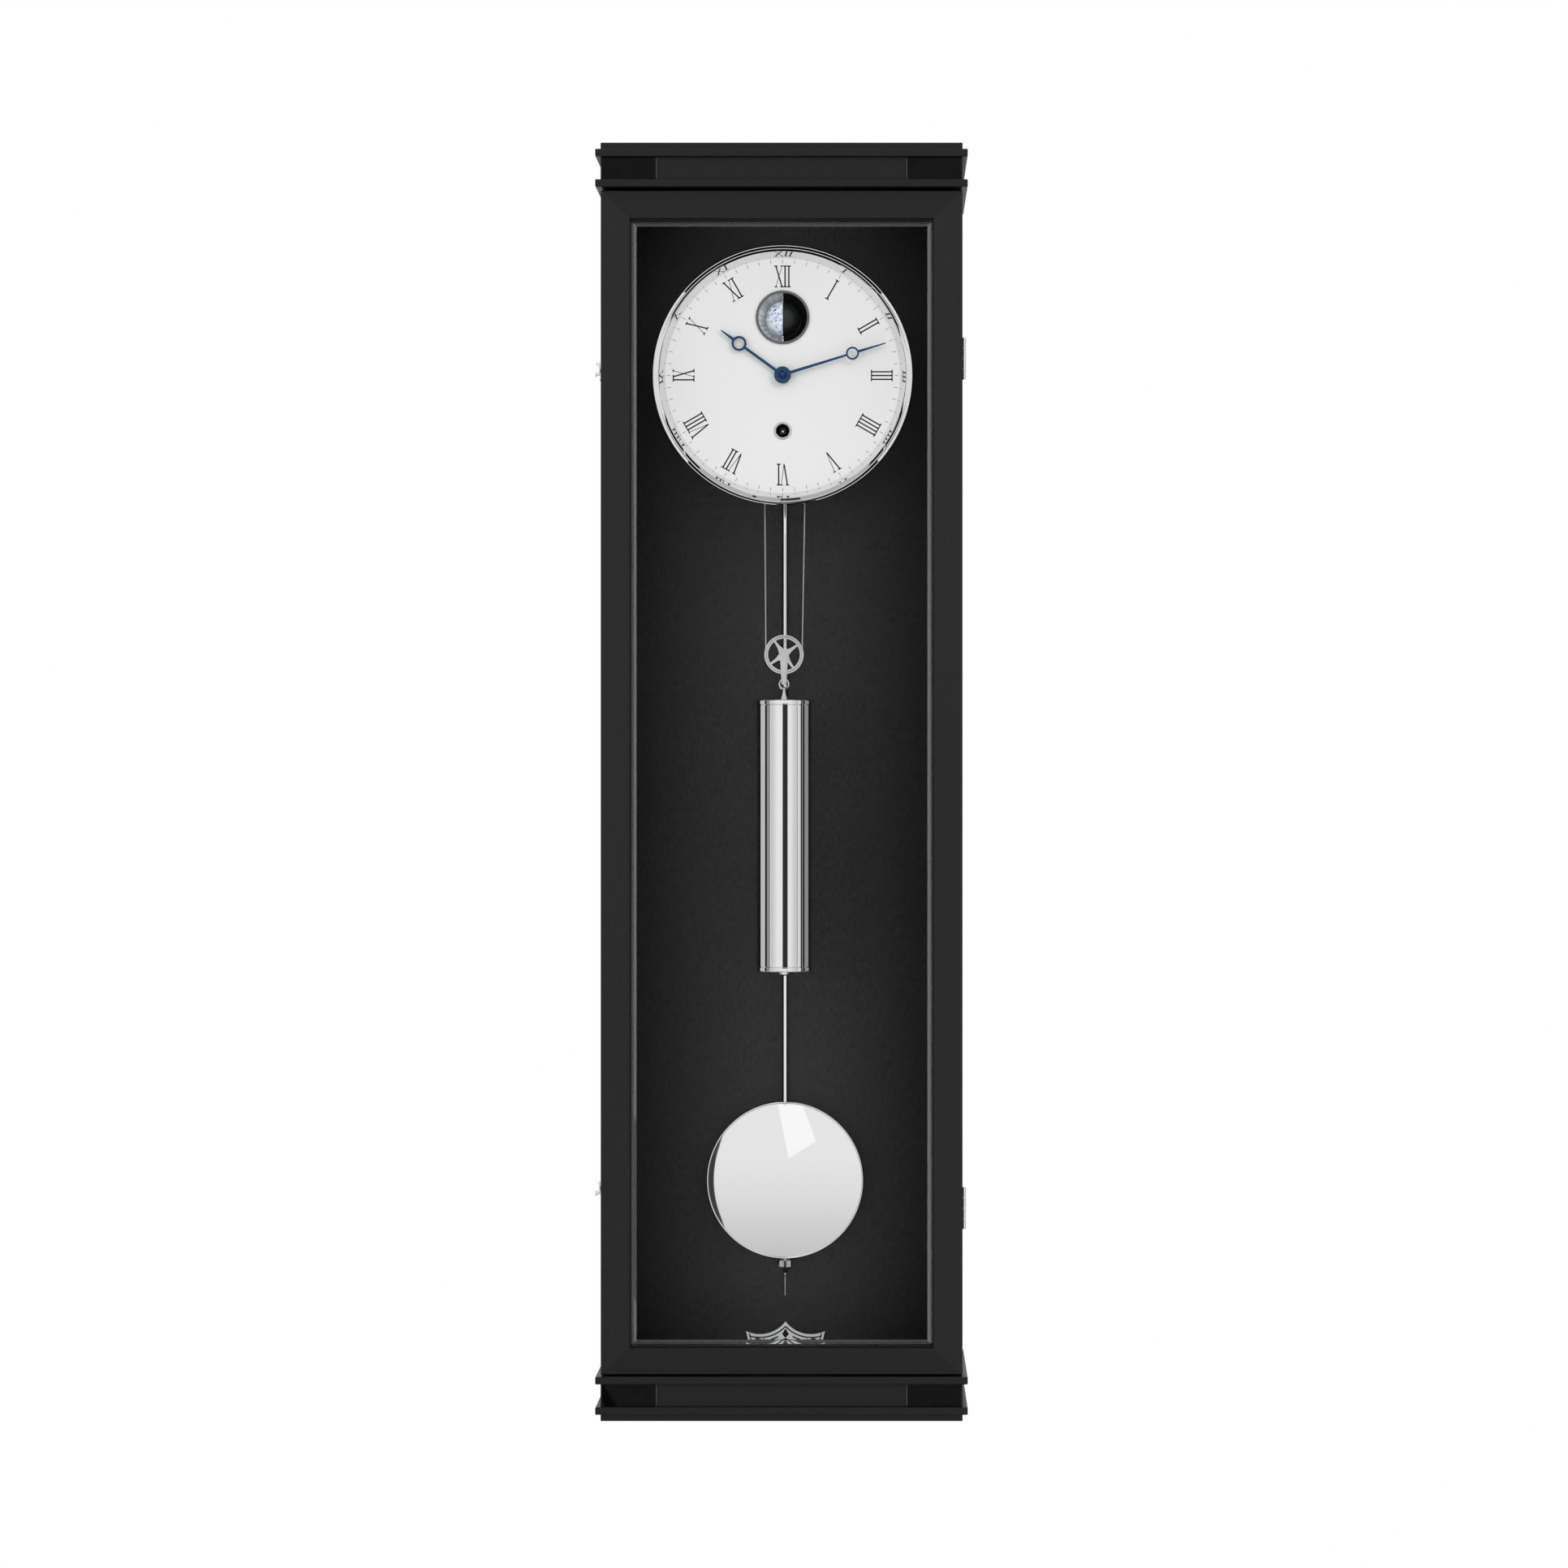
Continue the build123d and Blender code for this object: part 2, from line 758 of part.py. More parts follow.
bead_width = rebate_width - glass_slack
bead_align = (Align.CENTER, Align.MAX, Align.CENTER)
cross_bead_length = sight_width - 2 * lip_width - 2 * fit_slack
with BuildPart() as glazing_beads:
    for side in (-1, 1):
        bead_x = side * (sight_width / 2 - lip_width + bead_width / 2)
        with Locations((bead_x, -bead_back, sight_middle)):
            Box(bead_width, bead_thickness, sight_height + 2 * glass_outset, align=bead_align)
    for side in (-1, 1):
        bead_z = sight_middle + side * (sight_height / 2 - lip_width + bead_width / 2)
        with Locations((0, -bead_back, bead_z)):
            Box(cross_bead_length, bead_thickness, bead_width, align=bead_align)
save(glazing_beads, "glazing_beads")

# Butt hinges in the gap between door and case, pins just outside the right side
hinge_x = case_width / 2 + knuckle_radius + screw_slack
hinge_depth = case_depth + door_gap / 2
leaf_edge = case_width / 2 - fit_slack
knuckle_pitch = hinge_length / knuckle_count


def hinge_leaf(leaf_depth, first_knuckle, middle):
    # One leaf with every second knuckle, bored for the pin
    bottom = middle - hinge_length / 2
    inwards, outwards = (Align.MAX, Align.MAX, Align.MIN), (Align.MIN, Align.MAX, Align.MIN)
    round_bar = (Align.CENTER, Align.CENTER, Align.MIN)
    with BuildPart() as leaf:
        with Locations((leaf_edge, -leaf_depth, bottom)):
            Box(hinge_leaf_width, hinge_leaf_thickness, hinge_length, align=inwards)
        for knuckle in range(first_knuckle, knuckle_count, 2):
            knuckle_bottom = bottom + knuckle * knuckle_pitch + knuckle_gap / 2
            knuckle_height = knuckle_pitch - knuckle_gap
            with Locations((leaf_edge, -leaf_depth, knuckle_bottom)):
                Box(hinge_x - leaf_edge, hinge_leaf_thickness, knuckle_height, align=outwards)
            with Locations((hinge_x, -hinge_depth, knuckle_bottom)):
                Cylinder(knuckle_radius, knuckle_height, align=round_bar)
        with Locations((hinge_x, -hinge_depth, bottom)):
            pin_bore = hinge_pin_radius + running_slack
            Cylinder(pin_bore, hinge_length, align=round_bar, mode=Mode.SUBTRACT)
    return leaf.part


for leaf_name, leaf_depth, first_knuckle in (
    ("hinge_case_leaves", case_depth, 0),
    ("hinge_door_leaves", door_back - hinge_leaf_thickness, 1),
):
    with BuildPart() as hinge_leaves:
        for middle in hinge_heights:
            add(hinge_leaf(leaf_depth, first_knuckle, middle))
    save(hinge_leaves, leaf_name)

with BuildPart() as hinge_pins:
    for middle in hinge_heights:
        with Locations((hinge_x, -hinge_depth, middle)):
            Cylinder(hinge_pin_radius, hinge_length)
save(hinge_pins, "hinge_pins")

# Hook latches: a stud on the door's left edge, a plate and pivot on the case, a hook held lifted
case_left = -case_width / 2
stud_depth = door_back + latch_stud_inset
pivot_depth = stud_depth - latch_reach
hook_x = case_left - latch_plate_thickness - hook_gap
hook_outer = hook_x - hook_thickness

with BuildPart() as latch_studs:
    for middle in latch_heights:
        with BuildSketch(left_side(case_left, stud_depth, middle)):
            Circle(latch_stem_radius)
        extrude(amount=latch_stem_length)
        with BuildSketch(left_side(case_left - latch_stem_length, stud_depth, middle)):
            Circle(latch_head_radius)
        extrude(amount=latch_head_thickness)
    outer_edges = latch_studs.edges().filter_by(GeomType.CIRCLE).group_by(Axis.X)[0]
    fillet(outer_edges, latch_head_thickness * 0.7)
save(latch_studs, "latch_studs")

with BuildPart() as latch_plates:
    for middle in latch_heights:
        with BuildSketch(left_side(case_left, pivot_depth, middle)):
            with Locations((-latch_plate_back, -latch_plate_fall)):
                plate_height = latch_plate_rise + latch_plate_fall
                Rectangle(latch_plate_length, plate_height, align=(Align.MIN, Align.MIN))
        extrude(amount=latch_plate_thickness)
        with BuildSketch(left_side(case_left - latch_plate_thickness, pivot_depth, middle)):
            Circle(hook_pivot_radius)
        extrude(amount=hook_thickness + 2 * hook_gap)
        with BuildSketch(left_side(hook_outer - hook_gap, pivot_depth, middle)):
            Circle(hook_cap_radius)
        extrude(amount=hook_thickness)
save(latch_plates, "latch_plates")


def hook(middle):
    # Hook plate in its own frame: eye at the pivot, arm forward, slot open downwards over the stud
    slot = latch_stem_radius + hook_slack
    nose = latch_reach + hook_nose
    with BuildPart() as plate:
        with BuildSketch(left_side(hook_x, pivot_depth, middle, hook_lift)):
            Circle(hook_eye_radius)
            Rectangle(latch_reach, hook_arm_height, align=(Align.MIN, Align.CENTER))
            with BuildLine():
                Polyline(
                    (latch_reach - hook_nose, -hook_depth), (nose, -hook_depth),
                    (nose, hook_top), (latch_reach - hook_nose, hook_top), close=True,
                )
            make_face()
            with Locations((latch_reach, 0)):
                Circle(slot, mode=Mode.SUBTRACT)
                Rectangle(2 * slot, 2 * hook_depth, align=(Align.CENTER, Align.MAX), mode=Mode.SUBTRACT)
            Circle(hook_pivot_radius + running_slack, mode=Mode.SUBTRACT)
        extrude(amount=hook_thickness)
        with BuildSketch(left_side(hook_x, pivot_depth, middle, hook_lift)):
            with Locations((latch_reach, hook_top)):
                Rectangle(2 * hook_nose, hook_tab_thickness, align=(Align.CENTER, Align.MIN))
        extrude(amount=hook_thickness + hook_tab_length)
    return plate.part


for hook_name, middle in zip(("lower_hook", "upper_hook"), latch_heights):
    with BuildPart() as latch_hook:
        add(hook(middle))
    save(latch_hook, hook_name)


# Places of the arbors, seen from the front and measured from the dial centre
centre_at = (0, 0)
drum_at = (0, -winding_drop)
escape_at = (0, escape_rise)
pallet_at = (0, escape_rise + escape_radius * math.sqrt(2))
great_reach = great_module * (great_teeth + intermediate_leaves) / 2
intermediate_reach = intermediate_module * (intermediate_teeth + centre_leaves) / 2
centre_reach = centre_module * (centre_teeth + third_leaves) / 2
third_reach = third_module * (third_teeth + escape_leaves) / 2
intermediate_at = meeting_point(drum_at, great_reach, centre_at, intermediate_reach, 1)
third_at = meeting_point(centre_at, centre_reach, escape_at, third_reach, -1)
motion_reach = motion_module * (cannon_leaves + minute_wheel_teeth) / 2
minute_at = polar(motion_reach, minute_stud_angle)
pendulum_z = dial_z + pallet_at[1]
pivot_holes = [intermediate_at, third_at, escape_at, pallet_at]
pillar_spots = [(x, z) for x in (-pillar_x, pillar_x) for z in (pillar_bottom, pillar_top)]
foot_spots = [(x, z) for x in (-dial_foot_x, dial_foot_x) for z in dial_foot_z]


def at(spot, depth, turn=0):
    return facing(depth, spot[0], dial_z + spot[1], turn)


# Movement frame
def movement_plate(depth, centre_hole):
    with BuildPart() as plate:
        with BuildSketch(facing(depth, 0, dial_z)):
            with Locations((0, (plate_top + plate_bottom) / 2)):
                RectangleRounded(plate_width, plate_top - plate_bottom, pillar_radius)
            with Locations(drum_at):
                Circle(drum_arbor_radius + running_slack, mode=Mode.SUBTRACT)
            with Locations(centre_at):
                Circle(centre_hole + running_slack, mode=Mode.SUBTRACT)
            with Locations(*pivot_holes):
                Circle(pivot_radius + running_slack, mode=Mode.SUBTRACT)
        extrude(amount=plate_thickness)
    return plate.part


with BuildPart() as back_plate:
    add(movement_plate(back_plate_depth, pivot_radius))
    with BuildSketch(at(pallet_at, back_plate_depth)):
        Circle(arbor_radius + 2 * running_slack)
    extrude(amount=plate_thickness, mode=Mode.SUBTRACT)
save(back_plate, "back_plate")

with BuildPart() as front_plate:
    add(movement_plate(front_plate_depth, centre_front_radius))
save(front_plate, "front_plate")

with BuildPart() as movement_pillars:
    for x, z in pillar_spots:
        add(rod(pillar_radius, plate_inner_back, front_plate_depth, x, dial_z + z))
save(movement_pillars, "movement_pillars")

seat_front = front_plate_face + bracket_thickness
with BuildPart() as movement_bracket:
    with BuildSketch(facing(back_thickness, 0, dial_z)):
        with Locations((0, bracket_rise)):
            flange_height = bracket_rise - plate_bottom + bracket_thickness
            Rectangle(bracket_flange_width, flange_height, align=(Align.CENTER, Align.MAX))
    extrude(amount=bracket_thickness)
    with BuildSketch(facing(back_thickness, 0, dial_z + plate_bottom)):
        for side in (-1, 1):
            with Locations((side * (bracket_seat_spread + bracket_seat_width / 2), 0)):
                Rectangle(bracket_seat_width, bracket_thickness, align=(Align.CENTER, Align.MAX))
    extrude(amount=seat_front - back_thickness)
    add(cut_screws(bracket_screws, bracket_face, -1), mode=Mode.SUBTRACT)
save(movement_bracket, "movement_bracket")

post_z = pendulum_z + post_bottom
post_front = rod_depth + spring_width
with BuildPart() as suspension_post:
    with Locations((0, -bracket_face, post_z)):
        post_length = post_front - bracket_face
        Box(post_width, post_length, post_height, align=(Align.CENTER, Align.MAX, Align.MIN))
    with BuildSketch(facing(rod_depth - spring_width / 2 - fit_slack, 0, post_z)):
        slit_width = spring_thickness + fit_slack
        Rectangle(slit_width, spring_up - post_bottom + fit_slack, align=(Align.CENTER, Align.MIN))
    extrude(amount=spring_width + 2 * fit_slack, mode=Mode.SUBTRACT)
save(suspension_post, "suspension_post")

with BuildPart() as suspension_spring:
    with BuildSketch(facing(rod_depth - spring_width / 2, 0, pendulum_z)):
        with Locations((0, spring_up)):
            Rectangle(spring_thickness, spring_up + spring_down, align=(Align.CENTER, Align.MAX))
    extrude(amount=spring_width)
save(suspension_spring, "suspension_spring")

with BuildPart() as cable_post:
    post_back = front_plate_depth - cable_post_length
    post_middle = dial_z + cable_post_z
    add(rod(cable_post_radius, post_back, front_plate_depth, cable_post_x, post_middle))
save(cable_post, "cable_post")


# Going train
def arbor(spot):
    return turned(arbor_profile(), spot[0], dial_z + spot[1])


great_phase = direction(drum_at, intermediate_at)
great_rim = great_module * (great_teeth / 2 - 1.25) - wheel_rim
ratchet_depth = drum_depth - ratchet_thickness
click_depth = great_depth + great_thickness + shake
with BuildPart() as great_wheel:
    with BuildSketch(at(drum_at, great_depth)):
        great_outline = wheel_outline(great_teeth, great_module, great_phase)
        add(crossed_face(great_outline, great_rim))
        with Locations(polar(click_orbit, click_angle)):
            Circle(click_eye_radius)
        with PolarLocations(0, 1, start_angle=click_angle):
            Rectangle(great_rim + wheel_rim / 2, 2 * spoke_width, align=(Align.MIN, Align.CENTER))
        Circle(drum_arbor_radius + running_slack, mode=Mode.SUBTRACT)
    extrude(amount=great_thickness)
    with BuildSketch(at(drum_at, great_depth + great_thickness)):
        with Locations(polar(click_orbit, click_angle)):
            Circle(click_stud_radius)
    extrude(amount=ratchet_thickness)
save(great_wheel, "great_wheel")

with BuildPart() as click:
    with BuildSketch(at(drum_at, click_depth)):
        with Locations(polar(click_orbit, click_angle)):
            Circle(click_eye_radius)
        with BuildLine():
            tip = polar(ratchet_radius + click_gap, click_tip_angle)
            tip_back = polar(ratchet_radius + click_gap + ratchet_tooth, click_tip_angle - 6)
            heel = polar(click_orbit - click_eye_radius, click_angle)
            heel_back = polar(click_orbit + click_eye_radius / 2, click_angle - 5)
            Polyline(tip, heel, heel_back, tip_back, close=True)
        make_face()
        with Locations(polar(click_orbit, click_angle)):
            Circle(click_stud_radius + running_slack, mode=Mode.SUBTRACT)
    extrude(amount=ratchet_thickness - 2 * shake)
save(click, "click")

drum_end = drum_depth + drum_length
drum_core = drum_cable_radius - cable_radius - running_slack
winding_start = drum_depth + drum_flange_thickness
winding_end = drum_end - drum_flange_thickness
arbor_end = front_plate_face + shake
with BuildPart() as drum:
    add(turned(
        [
            (0, back_plate_depth), (drum_arbor_radius, back_plate_depth),
            (drum_arbor_radius, drum_depth), (drum_flange_radius, drum_depth),
            (drum_flange_radius, winding_start), (drum_core, winding_start),
            (drum_core, winding_end), (drum_flange_radius, winding_end),
            (drum_flange_radius, drum_end), (drum_arbor_radius, drum_end),
            (drum_arbor_radius, arbor_end), (0, arbor_end),
        ],
        drum_at[0], dial_z + drum_at[1],
    ))
    with BuildSketch(at(drum_at, ratchet_depth)):
        saw = [(0, ratchet_radius - ratchet_tooth), (0.08, ratchet_radius)]
        add(outline_face(toothed(ratchet_teeth, saw, 0)))
    extrude(amount=ratchet_thickness)
    with BuildSketch(at(drum_at, front_plate_face)):
        Rectangle(winding_square, winding_square)
    extrude(amount=winding_reach - front_plate_face)
save(drum, "drum")


def train_arbor(spot, wheel, wheel_depth, pinion, pinion_depth):
    # Wheel and pinion outlines, each at its own depth, on one arbor
    rim = min(math.hypot(*point) for point in wheel) - wheel_rim
    with BuildPart() as assembly:
        add(arbor(spot))
        with BuildSketch(at(spot, wheel_depth)):
            add(crossed_face(wheel, rim))
        extrude(amount=wheel_thickness)
        with BuildSketch(at(spot, pinion_depth)):
            add(outline_face(pinion))
        extrude(amount=pinion_length)
    return assembly.part


def beside(wheel_depth, thickness=wheel_thickness):
    # Depth at which a pinion straddles the wheel that it meets
    return wheel_depth - (pinion_length - thickness) / 2


to_centre, to_drum = direction(intermediate_at, centre_at), direction(intermediate_at, drum_at)
intermediate_wheel = wheel_outline(intermediate_teeth, intermediate_module, to_centre)
intermediate_pinion = pinion_outline(intermediate_leaves, great_module, to_drum)
with BuildPart() as intermediate_arbor:
    add(train_arbor(
        intermediate_at, intermediate_wheel, intermediate_wheel_depth,
        intermediate_pinion, beside(great_depth, great_thickness),
    ))
save(intermediate_arbor, "intermediate_arbor")

centre_wheel = wheel_outline(centre_teeth, centre_module, direction(centre_at, third_at))
to_intermediate = direction(centre_at, intermediate_at)
centre_pinion = pinion_outline(centre_leaves, intermediate_module, to_intermediate)
cannon_front = minute_hand_depth + hand_thickness
with BuildPart() as centre_arbor:
    add(train_arbor(
        centre_at, centre_wheel, centre_wheel_depth,
        centre_pinion, beside(intermediate_wheel_depth),
    ))
    add(rod(centre_front_radius, front_plate_depth - shake, cannon_front + nut_height / 2, 0, dial_z))
save(centre_arbor, "centre_arbor")

third_wheel = wheel_outline(third_teeth, third_module, direction(third_at, escape_at))
third_pinion = pinion_outline(third_leaves, centre_module, direction(third_at, centre_at))
with BuildPart() as third_arbor:
    add(train_arbor(
        third_at, third_wheel, third_wheel_depth,
        third_pinion, beside(centre_wheel_depth),
    ))
save(third_arbor, "third_arbor")

escape_root = escape_radius - escape_depth_of_teeth
escape_saw = [(0, escape_root), (0.3, escape_radius), (0.36, escape_radius), (0.5, escape_root)]
escape_wheel = toothed(escape_teeth, escape_saw, 0)
escape_pinion = pinion_outline(escape_leaves, third_module, direction(escape_at, third_at))
with BuildPart() as escape_arbor:
    add(train_arbor(
        escape_at, escape_wheel, escape_wheel_depth,
        escape_pinion, beside(third_wheel_depth),
    ))
save(escape_arbor, "escape_arbor")

# Pallets, their arbor and the crutch that reaches down to the rod
pallet_depth = escape_wheel_depth - shake
with BuildPart() as pallet_arbor:
    front_pivot = front_plate_depth - shake
    add(turned(
        [
            (0, pallet_arbor_depth), (arbor_radius, pallet_arbor_depth), (arbor_radius, front_pivot),
            (pivot_radius, front_pivot), (pivot_radius, front_plate_face), (0, front_plate_face),
        ],
        pallet_at[0], dial_z + pallet_at[1],
    ))
    with BuildSketch(at(pallet_at, pallet_depth)):
        Circle(wheel_hub_radius)
        for side in (-1, 1):
            with BuildLine():
                shoulder = (side * pallet_shoulder[0], pallet_shoulder[1])
                nib = (side * pallet_nib[0], pallet_nib[1])
                Polyline((0, 0), shoulder, nib)
            trace(line_width=pallet_arm_width)
    extrude(amount=wheel_thickness + 2 * shake)
    with BuildSketch(at(pallet_at, crutch_depth)):
        Circle(wheel_hub_radius)
        Rectangle(crutch_width, crutch_length, align=(Align.CENTER, Align.MAX))
        with Locations((0, -crutch_length)):
            Rectangle(2 * (rod_radius + fork_slack + fork_prong), crutch_width)
    extrude(amount=crutch_thickness)
    with BuildSketch(at(pallet_at, rod_depth - rod_radius)):
        for side in (-1, 1):
            with Locations((side * (rod_radius + fork_slack + fork_prong / 2), -crutch_length)):
                Rectangle(fork_prong, crutch_width)
    extrude(amount=crutch_depth - rod_depth + rod_radius)
save(pallet_arbor, "pallet_arbor")

# Motion work in front of the front plate
minute_wheel_depth = cannon_depth + (pinion_length - wheel_thickness) / 2
minute_pinion_length = hour_wheel_depth + 2 * wheel_thickness - minute_wheel_depth
with BuildPart() as cannon_pinion:
    cannon_phase = direction(centre_at, minute_at)
    with BuildSketch(at(centre_at, cannon_depth)):
        add(outline_face(pinion_outline(cannon_leaves, motion_module, cannon_phase)))
    extrude(amount=pinion_length)
    add(rod(cannon_radius, cannon_depth, cannon_front, 0, dial_z))
    with BuildSketch(at(centre_at, cannon_depth)):
        Circle(cannon_bore_radius)
    extrude(amount=cannon_front - cannon_depth, mode=Mode.SUBTRACT)
save(cannon_pinion, "cannon_pinion")

with BuildPart() as minute_wheel:
    minute_phase = direction(minute_at, centre_at)
    with BuildSketch(at(minute_at, minute_wheel_depth)):
        minute_rim = motion_module * (minute_wheel_teeth / 2 - 1.25) - wheel_rim
        add(crossed_face(wheel_outline(minute_wheel_teeth, motion_module, minute_phase), minute_rim))
    extrude(amount=wheel_thickness)
    with BuildSketch(at(minute_at, minute_wheel_depth)):
        add(outline_face(pinion_outline(minute_leaves, motion_module, minute_phase)))
    extrude(amount=minute_pinion_length)
    with BuildSketch(at(minute_at, minute_wheel_depth)):
        Circle(minute_stud_radius + running_slack)
    extrude(amount=minute_pinion_length, mode=Mode.SUBTRACT)
save(minute_wheel, "minute_wheel")

hour_front = hour_hand_depth + hand_thickness
with BuildPart() as hour_wheel:
    hour_rim = motion_module * (hour_wheel_teeth / 2 - 1.25) - wheel_rim
    hour_phase = direction(centre_at, minute_at)
    with BuildSketch(at(centre_at, hour_wheel_depth)):
        add(crossed_face(wheel_outline(hour_wheel_teeth, motion_module, hour_phase), hour_rim))
    extrude(amount=wheel_thickness)
    add(rod(hour_pipe_radius, hour_wheel_depth, hour_front, 0, dial_z))
    with BuildSketch(at(centre_at, hour_wheel_depth)):
        Circle(hour_bore_radius)
    extrude(amount=hour_front - hour_wheel_depth, mode=Mode.SUBTRACT)
save(hour_wheel, "hour_wheel")


def hand(depth, angle, bore, length, ring_reach, ring_radius, ring_hole, arm, tip):
    # Hand with a round hub, a tapering arm, a ring and a fine tip, at a clock angle from twelve
    ring_inner = (ring_radius + ring_hole) / 2
    stretches = [
        (0, ring_reach - ring_inner, arm),
        (ring_reach + ring_inner, length, tip),
    ]
    with BuildPart() as blade:
        with BuildSketch(at(centre_at, depth, 90 - angle)):
            for start, end, (wide, narrow) in stretches:
                with BuildLine():
                    upper = [(start, wide / 2), (end, narrow / 2)]
                    Polyline(*upper, *[(x, -y) for x, y in reversed(upper)], close=True)
                make_face()
            with Locations((ring_reach, 0)):
                Circle(ring_radius)
                Circle(ring_hole, mode=Mode.SUBTRACT)
            Circle(hand_hub_radius)
            Circle(bore, mode=Mode.SUBTRACT)
        extrude(amount=hand_thickness)
    return blade.part


with BuildPart() as hour_hand:
    add(hand(
        hour_hand_depth, hour_angle, hour_pipe_radius, hour_hand_length,
        hour_ring_reach, hour_ring_radius, hour_ring_hole, hour_arm, hour_tip,
    ))
save(hour_hand, "hour_hand")

with BuildPart() as minute_hand:
    add(hand(
        minute_hand_depth, minute_angle, cannon_radius, minute_hand_length,
        minute_ring_reach, minute_ring_radius, minute_ring_hole, minute_arm, minute_tip,
    ))
save(minute_hand, "minute_hand")

with BuildPart() as hand_nut:
    add(rod(nut_radius, cannon_front, cannon_front + nut_height, 0, dial_z))
    fillet(hand_nut.edges().filter_by(GeomType.CIRCLE).sort_by(Axis.Y)[0], nut_height * 0.8)
    with BuildSketch(at(centre_at, cannon_front)):
        Circle(centre_front_radius + running_slack)
    extrude(amount=nut_height / 2 + running_slack, mode=Mode.SUBTRACT)
save(hand_nut, "hand_nut")

# Dial with its feet, bezel, moon and winding hole
moon_at = (0, moon_rise)
with BuildPart() as dial_plate:
    with BuildSketch(facing(dial_depth, 0, dial_z)):
        Circle(dial_radius)
        Circle(hour_pipe_radius + dial_hole_slack, mode=Mode.SUBTRACT)
        with Locations(drum_at):
            Circle(grommet_sleeve + running_slack, mode=Mode.SUBTRACT)
        with Locations(moon_at):
            Circle(moon_cup_radius + moon_cup_wall + running_slack, mode=Mode.SUBTRACT)
    extrude(amount=dial_thickness)
save(dial_plate, "dial_plate")

with BuildPart() as dial_feet:
    for x, z in foot_spots:
        add(rod(dial_foot_radius, front_plate_face, dial_depth, x, dial_z + z))
    stud_end = hour_wheel_depth + 2 * wheel_thickness
    add(rod(minute_stud_radius, front_plate_face, stud_end, minute_at[0], dial_z + minute_at[1]))
save(dial_feet, "dial_feet")

with BuildPart() as bezel:
    with BuildSketch(Plane(origin=(0, 0, dial_z), x_dir=(1, 0, 0), z_dir=(0, 0, -1))):
        with BuildLine():
            lip_front = dial_face + bezel_height
            lip_middle = (bezel_lip_radius + bezel_radius) / 2
            lip_half = (bezel_radius - bezel_lip_radius) / 2
            lip = (bezel_lip_radius, lip_front)
            skirt_radius, skirt_back = dial_radius + running_slack, dial_face - bezel_skirt
            Line((bezel_sight_radius, dial_face), lip)
            ThreePointArc(lip, (lip_middle, lip_front + lip_half), (bezel_radius, lip_front))
            Polyline(
                (bezel_radius, lip_front), (bezel_radius, skirt_back),
                (skirt_radius, skirt_back), (skirt_radius, dial_face),
                (bezel_sight_radius, dial_face),
            )
        make_face()
    revolve(axis=Axis((0, 0, dial_z), (0, -1, 0)))
save(bezel, "bezel")

moon_back = moon_depth - moon_radius - 2 * shake
funnel_front = moon_depth + moon_funnel_lead
funnel_back = funnel_front - moon_funnel_length
with BuildPart() as moon_cup:
    cup_outer = moon_cup_radius + moon_cup_wall
    throat_outer = moon_throat_radius + moon_cup_wall
    ring_front = dial_face + moon_ring_proud
    add(turned(
        [
            (0, moon_back), (moon_throat_radius, moon_back), (moon_throat_radius, funnel_back),
            (moon_cup_radius, funnel_front), (moon_cup_radius, ring_front - moon_ring_edge),
            (moon_cup_radius + moon_ring_edge, ring_front),
            (moon_ring_radius - moon_ring_slope, ring_front), (moon_ring_radius, dial_face),
            (cup_outer, dial_face), (cup_outer, moon_depth - shake),
            (throat_outer, funnel_back - moon_cup_wall), (throat_outer, moon_back - moon_cup_wall),
            (0, moon_back - moon_cup_wall),
        ],
        0, dial_z + moon_rise,
    ))
    with BuildSketch(Plane.XY.offset(dial_z + moon_rise - moon_ring_radius)):
        with Locations((0, -moon_depth)):
            Circle(moon_pin_radius + running_slack)
    extrude(amount=2 * moon_ring_radius, mode=Mode.SUBTRACT)
save(moon_cup, "moon_cup")

pin_top = cup_outer + shake
star_top = -cup_outer - shake
with BuildPart() as moon_ball:
    with Locations((0, -moon_depth, dial_z + moon_rise)):
        Sphere(moon_radius)
    moon_z = dial_z + moon_rise
    with BuildSketch(Plane.XY.offset(moon_z + star_top - moon_star_thickness)):
        with Locations((0, -moon_depth)):
            Circle(moon_pin_radius)
    extrude(amount=pin_top - star_top + moon_star_thickness)
    with BuildSketch(Plane.XY.offset(moon_z + star_top - moon_star_thickness)):
        with Locations((0, -moon_depth)):
            star = [(0, moon_star_radius), (0.5, moon_star_radius / 2)]
            add(outline_face(toothed(moon_star_points, star, 0)))
    extrude(amount=moon_star_thickness)
save(moon_ball, "moon_ball")

with BuildPart() as winding_grommet:
    add(turned(
        [
            (grommet_hole, dial_depth - grommet_proud), (grommet_sleeve, dial_depth - grommet_proud),
            (grommet_sleeve, dial_face), (grommet_radius, dial_face),
            (grommet_radius - grommet_proud / 2, dial_face + grommet_proud),
            (grommet_hole + grommet_proud / 2, dial_face + grommet_proud), (grommet_hole, dial_face),
        ],
        drum_at[0], dial_z + drum_at[1],
    ))
save(winding_grommet, "winding_grommet")


